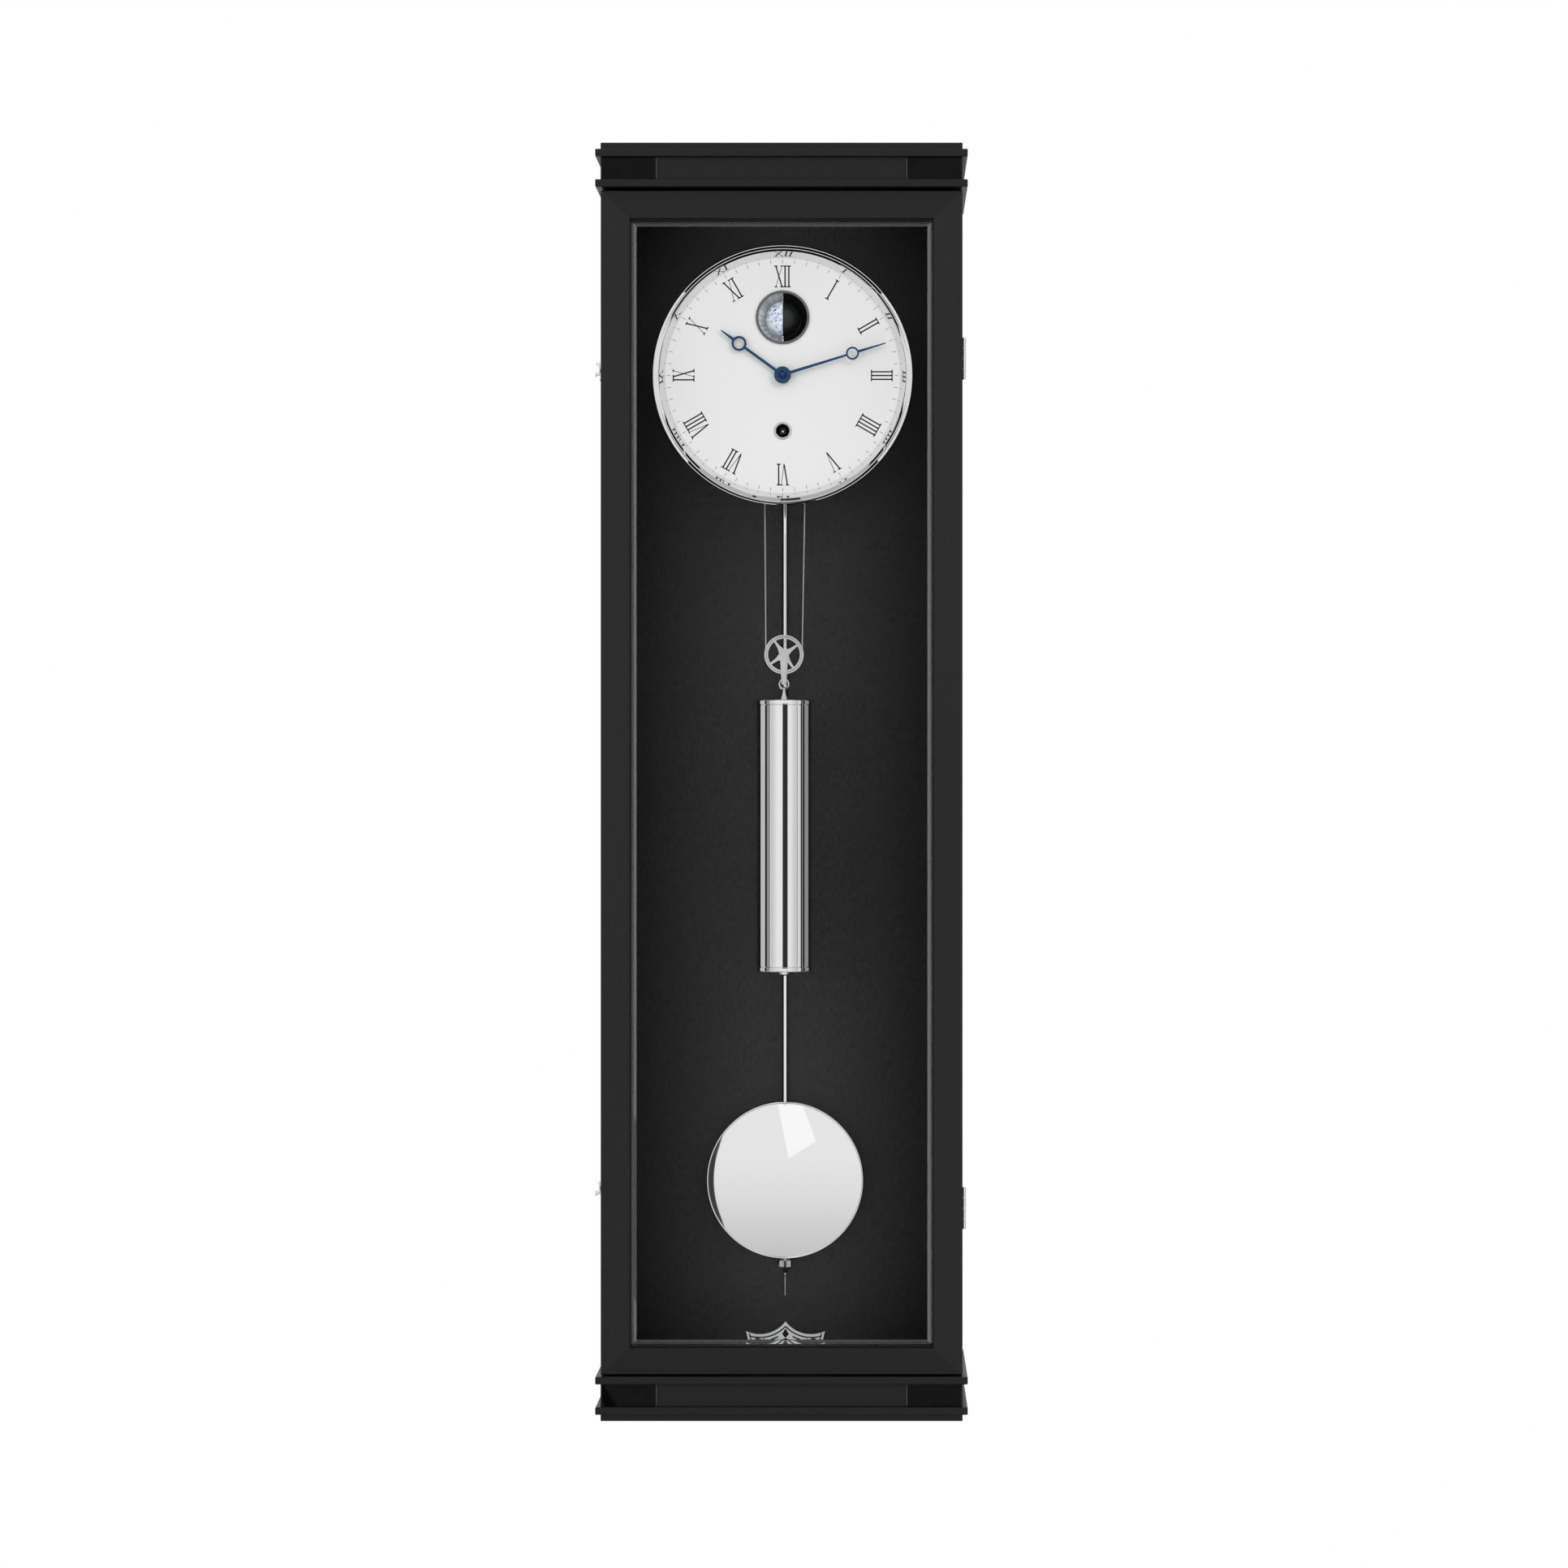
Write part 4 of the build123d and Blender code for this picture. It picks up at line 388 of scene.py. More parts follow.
def closeShape():
    bpy.ops.mesh.select_all(action="SELECT")
    bpy.ops.mesh.remove_doubles(threshold=weldGap * mm)
    bpy.ops.mesh.normals_make_consistent(inside=False)


def smoothEdges(angle):
    bpy.ops.object.mode_set(mode="OBJECT")
    if angle:  # printed marks and joined copies are left as they are
        bpy.ops.object.shade_smooth_by_angle(angle=math.radians(angle))


def finishPiece(piece, material, body, angle=0, stands=()):
    smoothEdges(angle)
    for finish in material if isinstance(material, tuple) else (material,):
        piece.data.materials.append(finish)
    if body:
        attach(piece, body)
    if stands:
        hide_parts(*stands)


def turnedPiece(name, outline, centre, steps, upright=False):
    # an outline of (radius, along) points spun round an upright or a front-to-back axis
    origin = Vector(centre) * mm
    along = Vector((0, 0, 1)) if upright else Vector((0, -1, 0))
    points = [origin + Vector((r * mm, 0, 0)) + along * (a * mm) for r, a in outline]
    piece = startLine(name, points)
    bpy.ops.mesh.spin(steps=steps, angle=2 * math.pi, center=origin, axis=along)
    closeShape()
    return piece


def arcPoints(centre, radius, start, end, count):
    turns = [math.radians(start + (end - start) * i / count) for i in range(count + 1)]
    return [(centre[0] + radius * math.cos(t), centre[1] + radius * math.sin(t)) for t in turns]


def joinPieces(name, pieces):
    bpy.ops.object.select_all(action="DESELECT")
    for piece in pieces:
        piece.select_set(True)
    bpy.context.view_layer.objects.active = pieces[0]
    bpy.ops.object.join()
    pieces[0].name = pieces[0].data.name = name
    return pieces[0]


def copyTo(source, place):
    copy = source.copy()
    copy.data = source.data.copy()
    copy.data.transform(place)
    bpy.context.scene.collection.objects.link(copy)
    return copy


def repeatAt(name, source, places):
    copies = [copyTo(source, place) for place in places]
    bpy.data.objects.remove(source)
    return joinPieces(name, copies)


def thicken(piece, depth):
    bpy.context.view_layer.objects.active = piece
    wall = piece.modifiers.new("wall", "SOLIDIFY")
    wall.thickness = depth * mm
    wall.offset = 1  # the underside stays on the face that it is printed on
    bpy.ops.object.modifier_apply(modifier="wall")


# Pendulum bob: polished domes with a rolled bead round the rim

bobLook = {
    "steps": 192,
    "bead": 0.8,  # radius of the bead
    "edge": 2.5,  # half thickness where the dome ends
    "sink": 0.2,  # the bead's middle below that
    "seam": (0.25, 0.15),  # depth and half width of the line between the shells
}
bobLow, bobHigh = nodeBox("bob_shells")
bobCentre = (bobLow + bobHigh) / 2
bobRadius = (bobHigh.x - bobLow.x) / 2
bobHalf = (bobHigh.y - bobLow.y) / 2
bead = bobLook["bead"]
seamDepth, seamHalf = bobLook["seam"]
domeRadius = bobRadius - 2 * bead
domeRise = bobHalf - bobLook["edge"]
domeSphere = (domeRadius ** 2 + domeRise ** 2) / (2 * domeRise)
domeAngle = math.degrees(math.asin(domeRadius / domeSphere))
frontDome = arcPoints((0, bobHalf - domeSphere), domeSphere, 90, 90 - domeAngle, 28)
frontDome[0] = (0, bobHalf)
rimBead = arcPoints((bobRadius - bead, bobHalf - domeRise - bobLook["sink"]), bead, 160, 0, 12)
frontHalf = frontDome + rimBead + [(bobRadius, seamHalf), (bobRadius - seamDepth, 0)]
bobOutline = frontHalf + [(r, -a) for r, a in reversed(frontHalf[:-1])]
bob = turnedPiece("pendulumBob", bobOutline, bobCentre, bobLook["steps"])
finishPiece(bob, chrome, "bob", angle=30, stands=["bob_shells"])

# Weight: chromed tube between two turned caps, with a button underneath

weightLook = {
    "steps": 160,
    "line": 0.35,  # fine groove between tube and cap
    "round": 0.8,  # edge of the caps
    "button": 4.3,  # radius of the button
    "ease": 0.9,
}
shellLow, shellHigh = nodeBox("weight_shell")
capsLow, capsHigh = nodeBox("weight_caps")
weightCentre = (shellLow + shellHigh) / 2
tubeRadius = (shellHigh.x - shellLow.x) / 2
capRadius = (capsHigh.x - capsLow.x) / 2
weightTop, weightFoot = capsHigh.z, capsLow.z
capBottom = shellLow.z - (weightTop - shellHigh.z)
line, capRound = weightLook["line"], weightLook["round"]
button, ease = weightLook["button"], weightLook["ease"]
weightOutline = [
    (0, weightFoot), (button - ease, weightFoot), (button, weightFoot + ease), (button, capBottom),
    *arcPoints((capRadius - capRound, capBottom + capRound), capRound, -90, 0, 6),
    (capRadius, shellLow.z - line), (tubeRadius - line, shellLow.z),
    (tubeRadius, shellLow.z + line), (tubeRadius, shellHigh.z - line),
    (tubeRadius - line, shellHigh.z), (capRadius, shellHigh.z + line),
    *arcPoints((capRadius - capRound, weightTop - capRound), capRound, 0, 90, 6),
    (0, weightTop),
]
weightAxis = (0, weightCentre.y, 0)
weightSteps = weightLook["steps"]
weight = turnedPiece("weightCylinder", weightOutline, weightAxis, weightSteps, upright=True)
finishPiece(weight, chrome, "weight", angle=30, stands=["weight_shell", "weight_caps"])

# Bezel: a polished cone up to a crest, then a grooved slope back to a thin flange

bezelLook = {
    "steps": 224,
    "cover": 9.7,  # how far it reaches in over the dial
    "crest": 98.6,  # radius of the crest
    "rise": 7.0,  # from the dial up to the crest
    "crestEdge": [(-0.25, 0.25), (0, 0), (0.3, 0.12)],  # out from the crest, back from the crest
    "groove": 100.7,  # radius of the groove
    "grooveEdge": [(-0.3, 1.15), (0, 1.6), (0.3, 1.5)],  # out from the groove, back from the crest
    "slope": (0.5, 1.62, 0.17, 0.03),  # out from the groove, back, then lean and curve of a step
    "slopeSteps": 6,
    "flange": 0.45,
    "flangeBack": 3.9,
    "flangeEase": 0.05,
    "wall": 0.9,
    "smooth": 9,  # small, so that the cone keeps mirroring the dial
}
bezelLow, bezelHigh = nodeBox("bezel")
bezelRadius = (bezelHigh.x - bezelLow.x) / 2
bezelSight = bezelRadius - bezelLook["cover"]
bezelInside = bezelRadius - bezelLook["wall"]
flangeRadius = bezelRadius - bezelLook["flange"]
flangeBack, flangeEase = bezelLook["flangeBack"], bezelLook["flangeEase"]
skirtDepth = -bezelHigh.y
crest, groove = bezelLook["crest"], bezelLook["groove"]
crestDepth = bezelLook["rise"] - dialFace
slopeOut, slopeBack, slopeLean, slopeCurve = bezelLook["slope"]
slopeStart, slopeSteps = groove + slopeOut, bezelLook["slopeSteps"]
bezelOutline = [
    (bezelSight, -dialFace),
    *[(crest + out, crestDepth - back) for out, back in bezelLook["crestEdge"]],
    *[(groove + out, crestDepth - back) for out, back in bezelLook["grooveEdge"]],
    *[(slopeStart + step * (flangeRadius - slopeStart) / slopeSteps,
       crestDepth - slopeBack - slopeLean * step - slopeCurve * step ** 2)
      for step in range(slopeSteps + 1)],
    (flangeRadius + flangeEase, crestDepth - flangeBack),
    (bezelRadius, crestDepth - flangeBack - flangeEase), (bezelRadius, skirtDepth),
    (bezelInside, skirtDepth), (bezelInside, -dialFace), (bezelSight, -dialFace),
]
bezel = turnedPiece("dialBezel", bezelOutline, (0, 0, dialZ), bezelLook["steps"])
finishPiece(bezel, chrome, "case", angle=bezelLook["smooth"], stands=["bezel"])
print("bob, weight and bezel turned")

# Printed marks are drawn lying flat in millimetres, then stood up against the face they are on

standUp = Matrix.Rotation(math.pi / 2, 4, "X")


def printStroke(name, path):
    # a stroke through (across, up, width) points
    (x0, y0, w0), (x1, y1, w1) = path[:2]
    piece = startPiece(name, bpy.ops.mesh.primitive_plane_add, size=mm)
    bpy.ops.transform.resize(value=(w0, y1 - y0, 1))
    bpy.ops.transform.translate(value=Vector((x0, (y0 + y1) / 2, 0)) * mm)
    choosePoints(lambda spot: spot.y > (y0 + y1) / 2)
    bpy.ops.transform.translate(value=((x1 - x0) * mm, 0, 0))
    bpy.ops.transform.resize(value=(w1 / w0, 1, 1), center_override=Vector((x1, y1, 0)) * mm)
    for (xa, ya, wa), (xb, yb, wb) in zip(path[1:], path[2:]):
        move = Vector((xb - xa, yb - ya, 0)) * mm
        bpy.ops.mesh.extrude_region_move(TRANSFORM_OT_translate={"value": move})
        bpy.ops.transform.resize(value=(wb / wa, 1, 1), center_override=Vector((xb, yb, 0)) * mm)
    bpy.ops.object.mode_set(mode="OBJECT")
    return piece


def dialPlace(angle, radius):
    middle = Matrix.Translation(Vector((0, dialFace, dialZ)) * mm)
    turn = Matrix.Rotation(math.radians(angle), 4, "Y")
    return middle @ turn @ Matrix.Translation((0, 0, radius * mm)) @ standUp


numeralLook = {
    "foot": 70.5,  # mm from the dial's middle to the feet of the numerals
    "height": 17.4,
    "thick": 1.08,
    "thin": 0.44,
    "ink": 0.08,
    "advance": {"I": 3.0, "V": 6.4, "X": 6.8},
}
top, thick, thin = numeralLook["height"], numeralLook["thick"], numeralLook["thin"]
letterStrokes = {  # strokes widen to their serifs at the foot and the top
    "I": [
        [(0, 0, 3.7), (0, 0.45, 3.3), (0, 1.2, thick),
         (0, top - 1.2, thick), (0, top - 0.45, 3.3), (0, top, 3.7)],
    ],
    "V": [
        [(0.45, 0, 0.5), (0.2, 1.6, thick),
         (-2.2, top - 1.1, thick), (-2.35, top - 0.45, 3.0), (-2.4, top, 3.4)],
        [(0.5, 0, 0.4), (0.65, 1.2, thin),
         (2.45, top - 1.1, thin), (2.55, top - 0.45, 2.4), (2.6, top, 2.8)],
    ],
    "X": [
        [(2.5, 0, 3.2), (2.4, 0.45, 2.8), (2.2, 1.2, thick),
         (-2.2, top - 1.2, thick), (-2.4, top - 0.45, 2.8), (-2.5, top, 3.2)],
        [(-2.5, 0, 2.8), (-2.4, 0.45, 2.4), (-2.25, 1.1, thin),
         (2.25, top - 1.1, thin), (2.4, top - 0.45, 2.4), (2.5, top, 2.8)],
    ],
}
letters = {}
for letter, strokes in letterStrokes.items():
    drawn = [printStroke("stroke", path) for path in strokes]
    letters[letter] = joinPieces("letter" + letter, drawn)
    thicken(letters[letter], numeralLook["ink"])
hours = ["XII", "I", "II", "III", "IIII", "V", "VI", "VII", "VIII", "IX", "X", "XI"]
numerals = []
for hour, text in enumerate(hours):
    place = dialPlace(hour * 30, numeralLook["foot"])
    across = -sum(numeralLook["advance"][letter] for letter in text) / 2
    for letter in text:
        step = numeralLook["advance"][letter]
        aside = Matrix.Translation(((across + step / 2) * mm, 0, 0))
        numerals.append(copyTo(letters[letter], place @ aside))
        across += step
for letter in letters.values():
    bpy.data.objects.remove(letter)
hourNumerals = joinPieces("hourNumerals", numerals)
finishPiece(hourNumerals, dialInk, "case")

trackLook = {"inner": 89.7, "length": 2.9, "width": 0.42, "tip": 0.8, "ink": 0.06}
long, wide = trackLook["length"], trackLook["width"]
tick = printStroke("tick", [(0, 0, wide), (0, long / 2, wide), (0, long, wide * trackLook["tip"])])
thicken(tick, trackLook["ink"])
minutes = [dialPlace(minute * 6, trackLook["inner"]) for minute in range(60)]
minuteTrack = repeatAt("minuteTrack", tick, minutes)
finishPiece(minuteTrack, trackInk, "case")
print("dial printed")

# Door glass: a pane with a ground bevel all round

glassLook = {"bevel": 8.3, "drop": 1.1, "near": 0.1}
glassLow, glassHigh = nodeBox("door_glass")
doorGlass = startPiece("bevelledGlass", bpy.ops.mesh.primitive_cube_add, size=mm)
bpy.ops.transform.resize(value=glassHigh - glassLow)
bpy.ops.transform.translate(value=(glassLow + glassHigh) / 2 * mm)
near = glassLook["near"]
for face in (glassLow.y, glassHigh.y):
    choosePoints(lambda spot: abs(spot.y - face) < near)
    bpy.ops.mesh.inset(thickness=glassLook["bevel"] * mm)
choosePoints(lambda spot: abs(spot.y - glassLow.y) < near and (
    abs(spot.x) > glassHigh.x - near or spot.z > glassHigh.z - near or spot.z < glassLow.z + near))
bpy.ops.transform.translate(value=(0, glassLook["drop"] * mm, 0))  # the front edge falls back
closeShape()
panes = (paneGlass, sideBevelGlassPaintedReflection, levelBevelGlassPaintedShade)
finishPiece(doorGlass, panes, "door", stands=["door_glass"])
glassMiddle = (glassLow.z + glassHigh.z) / 2
flatHalfX = glassHigh.x - glassLook["bevel"]
flatHalfZ = (glassHigh.z - glassLow.z) / 2 - glassLook["bevel"]
for face in doorGlass.data.polygons:
    centre = face.center / mm
    level = abs(centre.z - glassMiddle) > flatHalfZ
    face.material_index = 1 if abs(centre.x) > flatHalfX else 2 if level else 0

# Steel cable: from its post under the pulley and over the drum

pulleyLow, pulleyHigh = nodeBox("pulley")
cableDepth = weightCentre.y
pulleyZ, drumZ = (pulleyLow.z + pulleyHigh.z) / 2, dialZ - cableLook["drumDrop"]
pulleyRadius, drumRadius = cableLook["pulleyRadius"], cableLook["drumRadius"]
post = (cableLook["post"][0], dialZ - cableLook["post"][1])
reach = math.hypot(post[0], post[1] - pulleyZ)
lean = math.asin((drumRadius - pulleyRadius) / (drumZ - pulleyZ))  # left strand, off upright
leave = math.atan2(post[1] - pulleyZ, post[0]) - math.acos(pulleyRadius / reach)


def runTo(here, there):
    steps = cableLook["runSteps"]
    step = Vector((there[0] - here[0], 0, there[1] - here[1])) * (mm / steps)
    for _ in range(steps):
        bpy.ops.mesh.extrude_region_move(TRANSFORM_OT_translate={"value": step})


def bendRound(z, angle):
    bpy.ops.mesh.spin(steps=cableLook["arcSteps"], angle=angle, axis=(0, 1, 0),
                      center=Vector((0, cableDepth, z)) * mm)


def onCircle(z, radius, angle):
    return radius * math.cos(angle), z + radius * math.sin(angle)


rightFoot = onCircle(pulleyZ, pulleyRadius, leave)
leftFoot = onCircle(pulleyZ, pulleyRadius, math.pi + lean)
leftHead = onCircle(drumZ, drumRadius, math.pi + lean)
cable = startPiece("steelCable", bpy.ops.mesh.primitive_circle_add, vertices=cableLook["sides"],
                   radius=cableLook["radius"] * mm)
bpy.ops.transform.translate(value=Vector((post[0], cableDepth, post[1])) * mm)
bpy.ops.mesh.edge_face_add()
runTo(post, rightFoot)
bendRound(pulleyZ, -(math.pi - lean + leave))
runTo(leftFoot, leftHead)
bendRound(drumZ, -(math.pi + lean))
closeShape()
finishPiece(cable, ropeSteel, None, angle=60, stands=["cable"])
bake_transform(cable)
print("cable run")

# Moon cup: a spun funnel behind a smoked rim

cupLook = {
    "steps": 128,
    "floor": 14.9,  # radius of the flat floor
    "corner": 0.4,
    "throat": 19.4,  # radius of the funnel's front
    "funnel": (94.5, 102.0),  # depths of the funnel's back and front
    "funnelWall": (0.8, 1.2),  # its outside lies this far behind each
    "wall": 0.8,
    "rim": 1.7,  # depth of the smoked rim
    "lipFoot": 0.9,
    "lipRounds": (0.5, 0.6),  # inner and outer
}
cupLow, cupHigh = nodeBox("moon_cup")
cupRadius = (cupHigh.x - cupLow.x) / 2
cupBack, cupFront = -cupHigh.y, -cupLow.y
cupFloor, throat = cupLook["floor"], cupLook["throat"]
corner, wall = cupLook["corner"], cupLook["wall"]
funnelBack, funnelFront = cupLook["funnel"]
backGap, frontGap = cupLook["funnelWall"]
inner, outer = cupLook["lipRounds"]
cupOutline = [
    (0, cupBack + wall), (cupFloor - corner, cupBack + wall), (cupFloor, cupBack + wall + corner),
    (cupFloor, funnelBack), (throat, funnelFront), (throat, cupFront - cupLook["lipFoot"]),
    *arcPoints((throat + inner, cupFront - inner), inner, 180, 90, 5),
    *arcPoints((cupRadius - outer, cupFront - outer), outer, 90, 0, 5),
    (cupRadius, -dialFace), (throat + wall, -dialFace), (throat + wall, funnelFront - frontGap),
    (cupFloor + wall, funnelBack - backGap), (cupFloor + wall, cupBack), (0, cupBack),
]
moonZ = dialZ + moonLook["rise"]
moonCup = turnedPiece("moonCup", cupOutline, (0, 0, moonZ), cupLook["steps"])
finishPiece(moonCup, (silverLacquer, smokedNickel), "case", angle=20, stands=["moon_cup"])
for face in moonCup.data.polygons:
    face.material_index = int(-face.center.y / mm > cupFront - cupLook["rim"])

# Winding-hole grommet: a rolled nickel lip

grommetLook = {"hole": 5.2, "sleeve": 6.1, "lip": 0.8, "steps": 96}
gromLow, gromHigh = nodeBox("winding_grommet")
gromCentre = (gromLow + gromHigh) / 2
flange, gromBack = (gromHigh.x - gromLow.x) / 2, -gromHigh.y
hole, sleeve, lip = grommetLook["hole"], grommetLook["sleeve"], grommetLook["lip"]
lipBase = -gromLow.y - lip
grommetOutline = [
    (hole, gromBack),
    *[((hole + flange) / 2 + (flange - hole) / 2 * x, lipBase + lip * y)
      for x, y in arcPoints((0, 0), 1, 180, 0, 15)],
    (flange, -dialFace), (sleeve, -dialFace), (sleeve, gromBack), (hole, gromBack),
]
windingAxis = (0, 0, gromCentre.z)
grommet = turnedPiece("windingGrommet", grommetOutline, windingAxis, grommetLook["steps"])
finishPiece(grommet, satinNickel, "case", angle=35, stands=["winding_grommet"])

# Domed ends of the winding arbor and of the hand nut

domeLook = {"rise": 0.8, "sink": 0.3, "winding": 1.5, "nut": 2.2, "steps": 40}


def domedEnd(name, node, radius, axisZ):
    front, rise = -nodeBox(node)[0].y, domeLook["rise"]
    ball = (radius ** 2 + rise ** 2) / (2 * rise)
    sweep = math.degrees(math.asin(radius / ball))
    outline = arcPoints((0, front + rise - ball), ball, 90, 90 - sweep, 8)
    outline[0] = (0, outline[0][1])
    outline += [(radius, front - domeLook["sink"]), (0, front - domeLook["sink"])]
    return turnedPiece(name, outline, (0, 0, axisZ), domeLook["steps"])


windingTip = domedEnd("windingTip", "drum", domeLook["winding"], gromCentre.z)
finishPiece(windingTip, chrome, "drum", angle=40)
handNutTip = domedEnd("handNutTip", "hand_nut", domeLook["nut"], dialZ)
finishPiece(handNutTip, bluedNut, "minute_hand", angle=40)

# Bright collars on the moon's pin

pinLook = {
    "bore": 0.82,
    "collar": 1.0,  # radius of the collar against the ball
    "sleeve": 0.9,
    "collarEnds": (-0.3, 1.0),  # out from the ball
    "sleeveEnds": (1.2, 3.6),
    "steps": 32,
}
moonLow, moonHigh = nodeBox("moon_ball")
moonCentre = Vector((0, (moonLow.y + moonHigh.y) / 2, moonZ))
ballRadius = (moonHigh.x - moonLow.x) / 2
collarFoot, collarTop = [ballRadius + out for out in pinLook["collarEnds"]]
sleeveFoot, sleeveTop = [ballRadius + out for out in pinLook["sleeveEnds"]]
collarOutline = [
    (pinLook["bore"], collarFoot), (pinLook["collar"], collarFoot), (pinLook["collar"], collarTop),
    (pinLook["sleeve"], sleeveFoot), (pinLook["sleeve"], sleeveTop), (pinLook["bore"], sleeveTop),
    (pinLook["bore"], collarFoot),
]
pinCollar = turnedPiece("pinCollar", collarOutline, (0, 0, 0), pinLook["steps"], upright=True)
smoothEdges(35)
upper = Matrix.Translation(moonCentre * mm)
lower = upper @ Matrix.Rotation(math.pi, 4, "X")
pinCollars = repeatAt("moonPinCollars", pinCollar, [upper, lower])
finishPiece(pinCollars, chrome, "moon")
print("moon, winding hole and tips made")

# Beat scale: an engraved border, a lozenge between two leaves, and plain graduations

scaleLook = {
    "tipDrop": 8,  # from the point in the middle down to the tips
    "hollow": (19.9, 10.5),  # lowest place of the edge between them, across and down
    "side": (29, 14),  # half width at the foot, height of the slanting end
    "inset": 2.0,
    "line": 1.1,
    "ink": 0.06,
    "border": (0.4, 3.0, 24),  # start across, end short of the tip, steps
    "sidePath": [(2.5, 9, -17), (2.5, 4, -13), (2.7, 0, -9.6)],  # in from the tip, along, up
    "leaves": [(3.0, 1.2, 6.2, 12.5, 8),  # out from the border, width, start, end, steps
               (5.4, 0.9, 7.4, 11.0, 6)],
    "grades": 4,
    "gradeStart": 14.6,
    "gradePitch": 3,
    "gradePath": [(-17.2, 0.9), (-16.2, 0.9), (-14.4, 0.8)],  # up, width
    "gradeStep": 0.6,  # every other one ends higher by this
    "middle": {
        "lozenge": [(0, -13.4, 0.1), (0, -10.6, 5.2), (0, -9.9, 5.2), (0, -5.6, 0.1)],
        "stem": [(0, -18, 1.0), (0, -15, 1.0), (0, -13, 0.7)],
        "foot": [(0, -16.2, 0.2), (0, -15.2, 6.0), (0, -14.7, 6.0), (0, -13.6, 0.3)],
    },
}
scaleLow, scaleHigh = nodeBox("beat_scale")
hollowX, hollowDrop = scaleLook["hollow"]
apex = Vector((0, scaleHigh.z))
tip = Vector((scaleHigh.x, scaleHigh.z - scaleLook["tipDrop"]))
dip = Vector((hollowX, scaleHigh.z - hollowDrop))


def circleThrough(a, b, c):
    aa, bb, cc = a.length_squared, b.length_squared, c.length_squared
    d = 2 * (a.x * (b.y - c.y) + b.x * (c.y - a.y) + c.x * (a.y - b.y))
    x = (aa * (b.y - c.y) + bb * (c.y - a.y) + cc * (a.y - b.y)) / d
    y = (aa * (c.x - b.x) + bb * (a.x - c.x) + cc * (b.x - a.x)) / d
    return Vector((x, y)), (Vector((x, y)) - a).length


edgeCentre, edgeRadius = circleThrough(apex, dip, tip)
borderRadius = edgeRadius + scaleLook["inset"]


def arcLine(name, radius, width, startX, endX, steps):
    # a printed line that follows the hollow edge between two places across
    startTurn = math.asin((startX - edgeCentre.x) / radius)
    endTurn = math.asin((endX - edgeCentre.x) / radius)
    outward = Vector((math.sin(startTurn), -math.cos(startTurn), 0))
    middle = Vector((edgeCentre.x, edgeCentre.y - scaleHigh.z, 0))
    piece = startLine(name, [(middle + outward * r) * mm for r in (radius, radius + width)])
    bpy.ops.mesh.spin(steps=steps, angle=startTurn - endTurn, axis=(0, 0, 1), center=middle * mm)
    bpy.ops.mesh.select_all(action="SELECT")
    bpy.ops.mesh.remove_doubles(threshold=weldGap * mm / 2)
    bpy.ops.object.mode_set(mode="OBJECT")
    if piece.data.polygons[0].normal.z < 0:
        piece.data.flip_normals()
    return piece


borderWidth = scaleLook["line"]
borderStart, borderShort, borderSteps = scaleLook["border"]
sideLean = (scaleHigh.x - scaleLook["side"][0]) / scaleLook["side"][1]
sidePath = [(tip.x - back - along * sideLean, up, borderWidth)
            for back, along, up in scaleLook["sidePath"]]
marks = [
    arcLine("border", borderRadius, borderWidth, borderStart, tip.x - borderShort, borderSteps),
    printStroke("side", sidePath),
    *[arcLine("leaf", borderRadius + out, *leaf) for out, *leaf in scaleLook["leaves"]],
]
for step in range(scaleLook["grades"]):  # plain graduations either side of the lozenge
    x = scaleLook["gradeStart"] + step * scaleLook["gradePitch"]
    *shank, (gradeTop, topWidth) = scaleLook["gradePath"]
    gradeTop += scaleLook["gradeStep"] * (step % 2)
    gradePath = [(x, *spot) for spot in shank] + [(x, gradeTop, topWidth)]
    marks.append(printStroke("grade", gradePath))
rightHalf = joinPieces("scaleHalf", marks)
middleMarks = [printStroke(name, path) for name, path in scaleLook["middle"].items()]
leftHalf = copyTo(rightHalf, Matrix.Scale(-1, 4, (1, 0, 0)))
leftHalf.data.flip_normals()
scalePrint = joinPieces("scaleOrnament", [rightHalf, leftHalf, *middleMarks])
thicken(scalePrint, scaleLook["ink"])
scalePlace = Matrix.Translation(Vector((0, scaleLow.y, scaleHigh.z)) * mm)
scalePrint.data.transform(scalePlace @ standUp)
finishPiece(scalePrint, dialInk, "case")

# Raised strips beside the gloss inlays, with eased edges; their lighter lacquer is a painted
# highlight

stripLook = {
    "width": 1.1,
    "proud": 0.35,
    "ease": 0.25,
    "short": 0.2,  # shorter than the frieze is high
    "inlay": 42.4,  # from an inlay's outer end to its inner one
    "gap": 0.55,
}
inlayHigh = nodeBox("frieze_inlays")[1]
friezeLow, friezeHigh = nodeBox("cornice_frieze")
baseLow, baseHigh = nodeBox("base_frieze")
stripX = inlayHigh.x - stripLook["inlay"] - stripLook["gap"]
stripHeight = friezeHigh.z - friezeLow.z - stripLook["short"]
strip = startPiece("strip", bpy.ops.mesh.primitive_cube_add, size=mm)
bpy.ops.transform.resize(value=(stripLook["width"], stripLook["proud"] * 2, stripHeight))
bpy.ops.mesh.bevel(offset=stripLook["ease"] * mm, segments=3)
smoothEdges(35)
friezes = ((friezeLow, friezeHigh), (baseLow, baseHigh))
places = [Matrix.Translation(Vector((x, friezeLow.y, (low.z + high.z) / 2)) * mm)
          for low, high in friezes for x in (-stripX, stripX)]
inlayStrips = repeatAt("inlayStrips", strip, places)
finishPiece(inlayStrips, stripLacquerPaintedHighlight, "case")
print("scale and inlay strips made")

# Camera and light, in metres

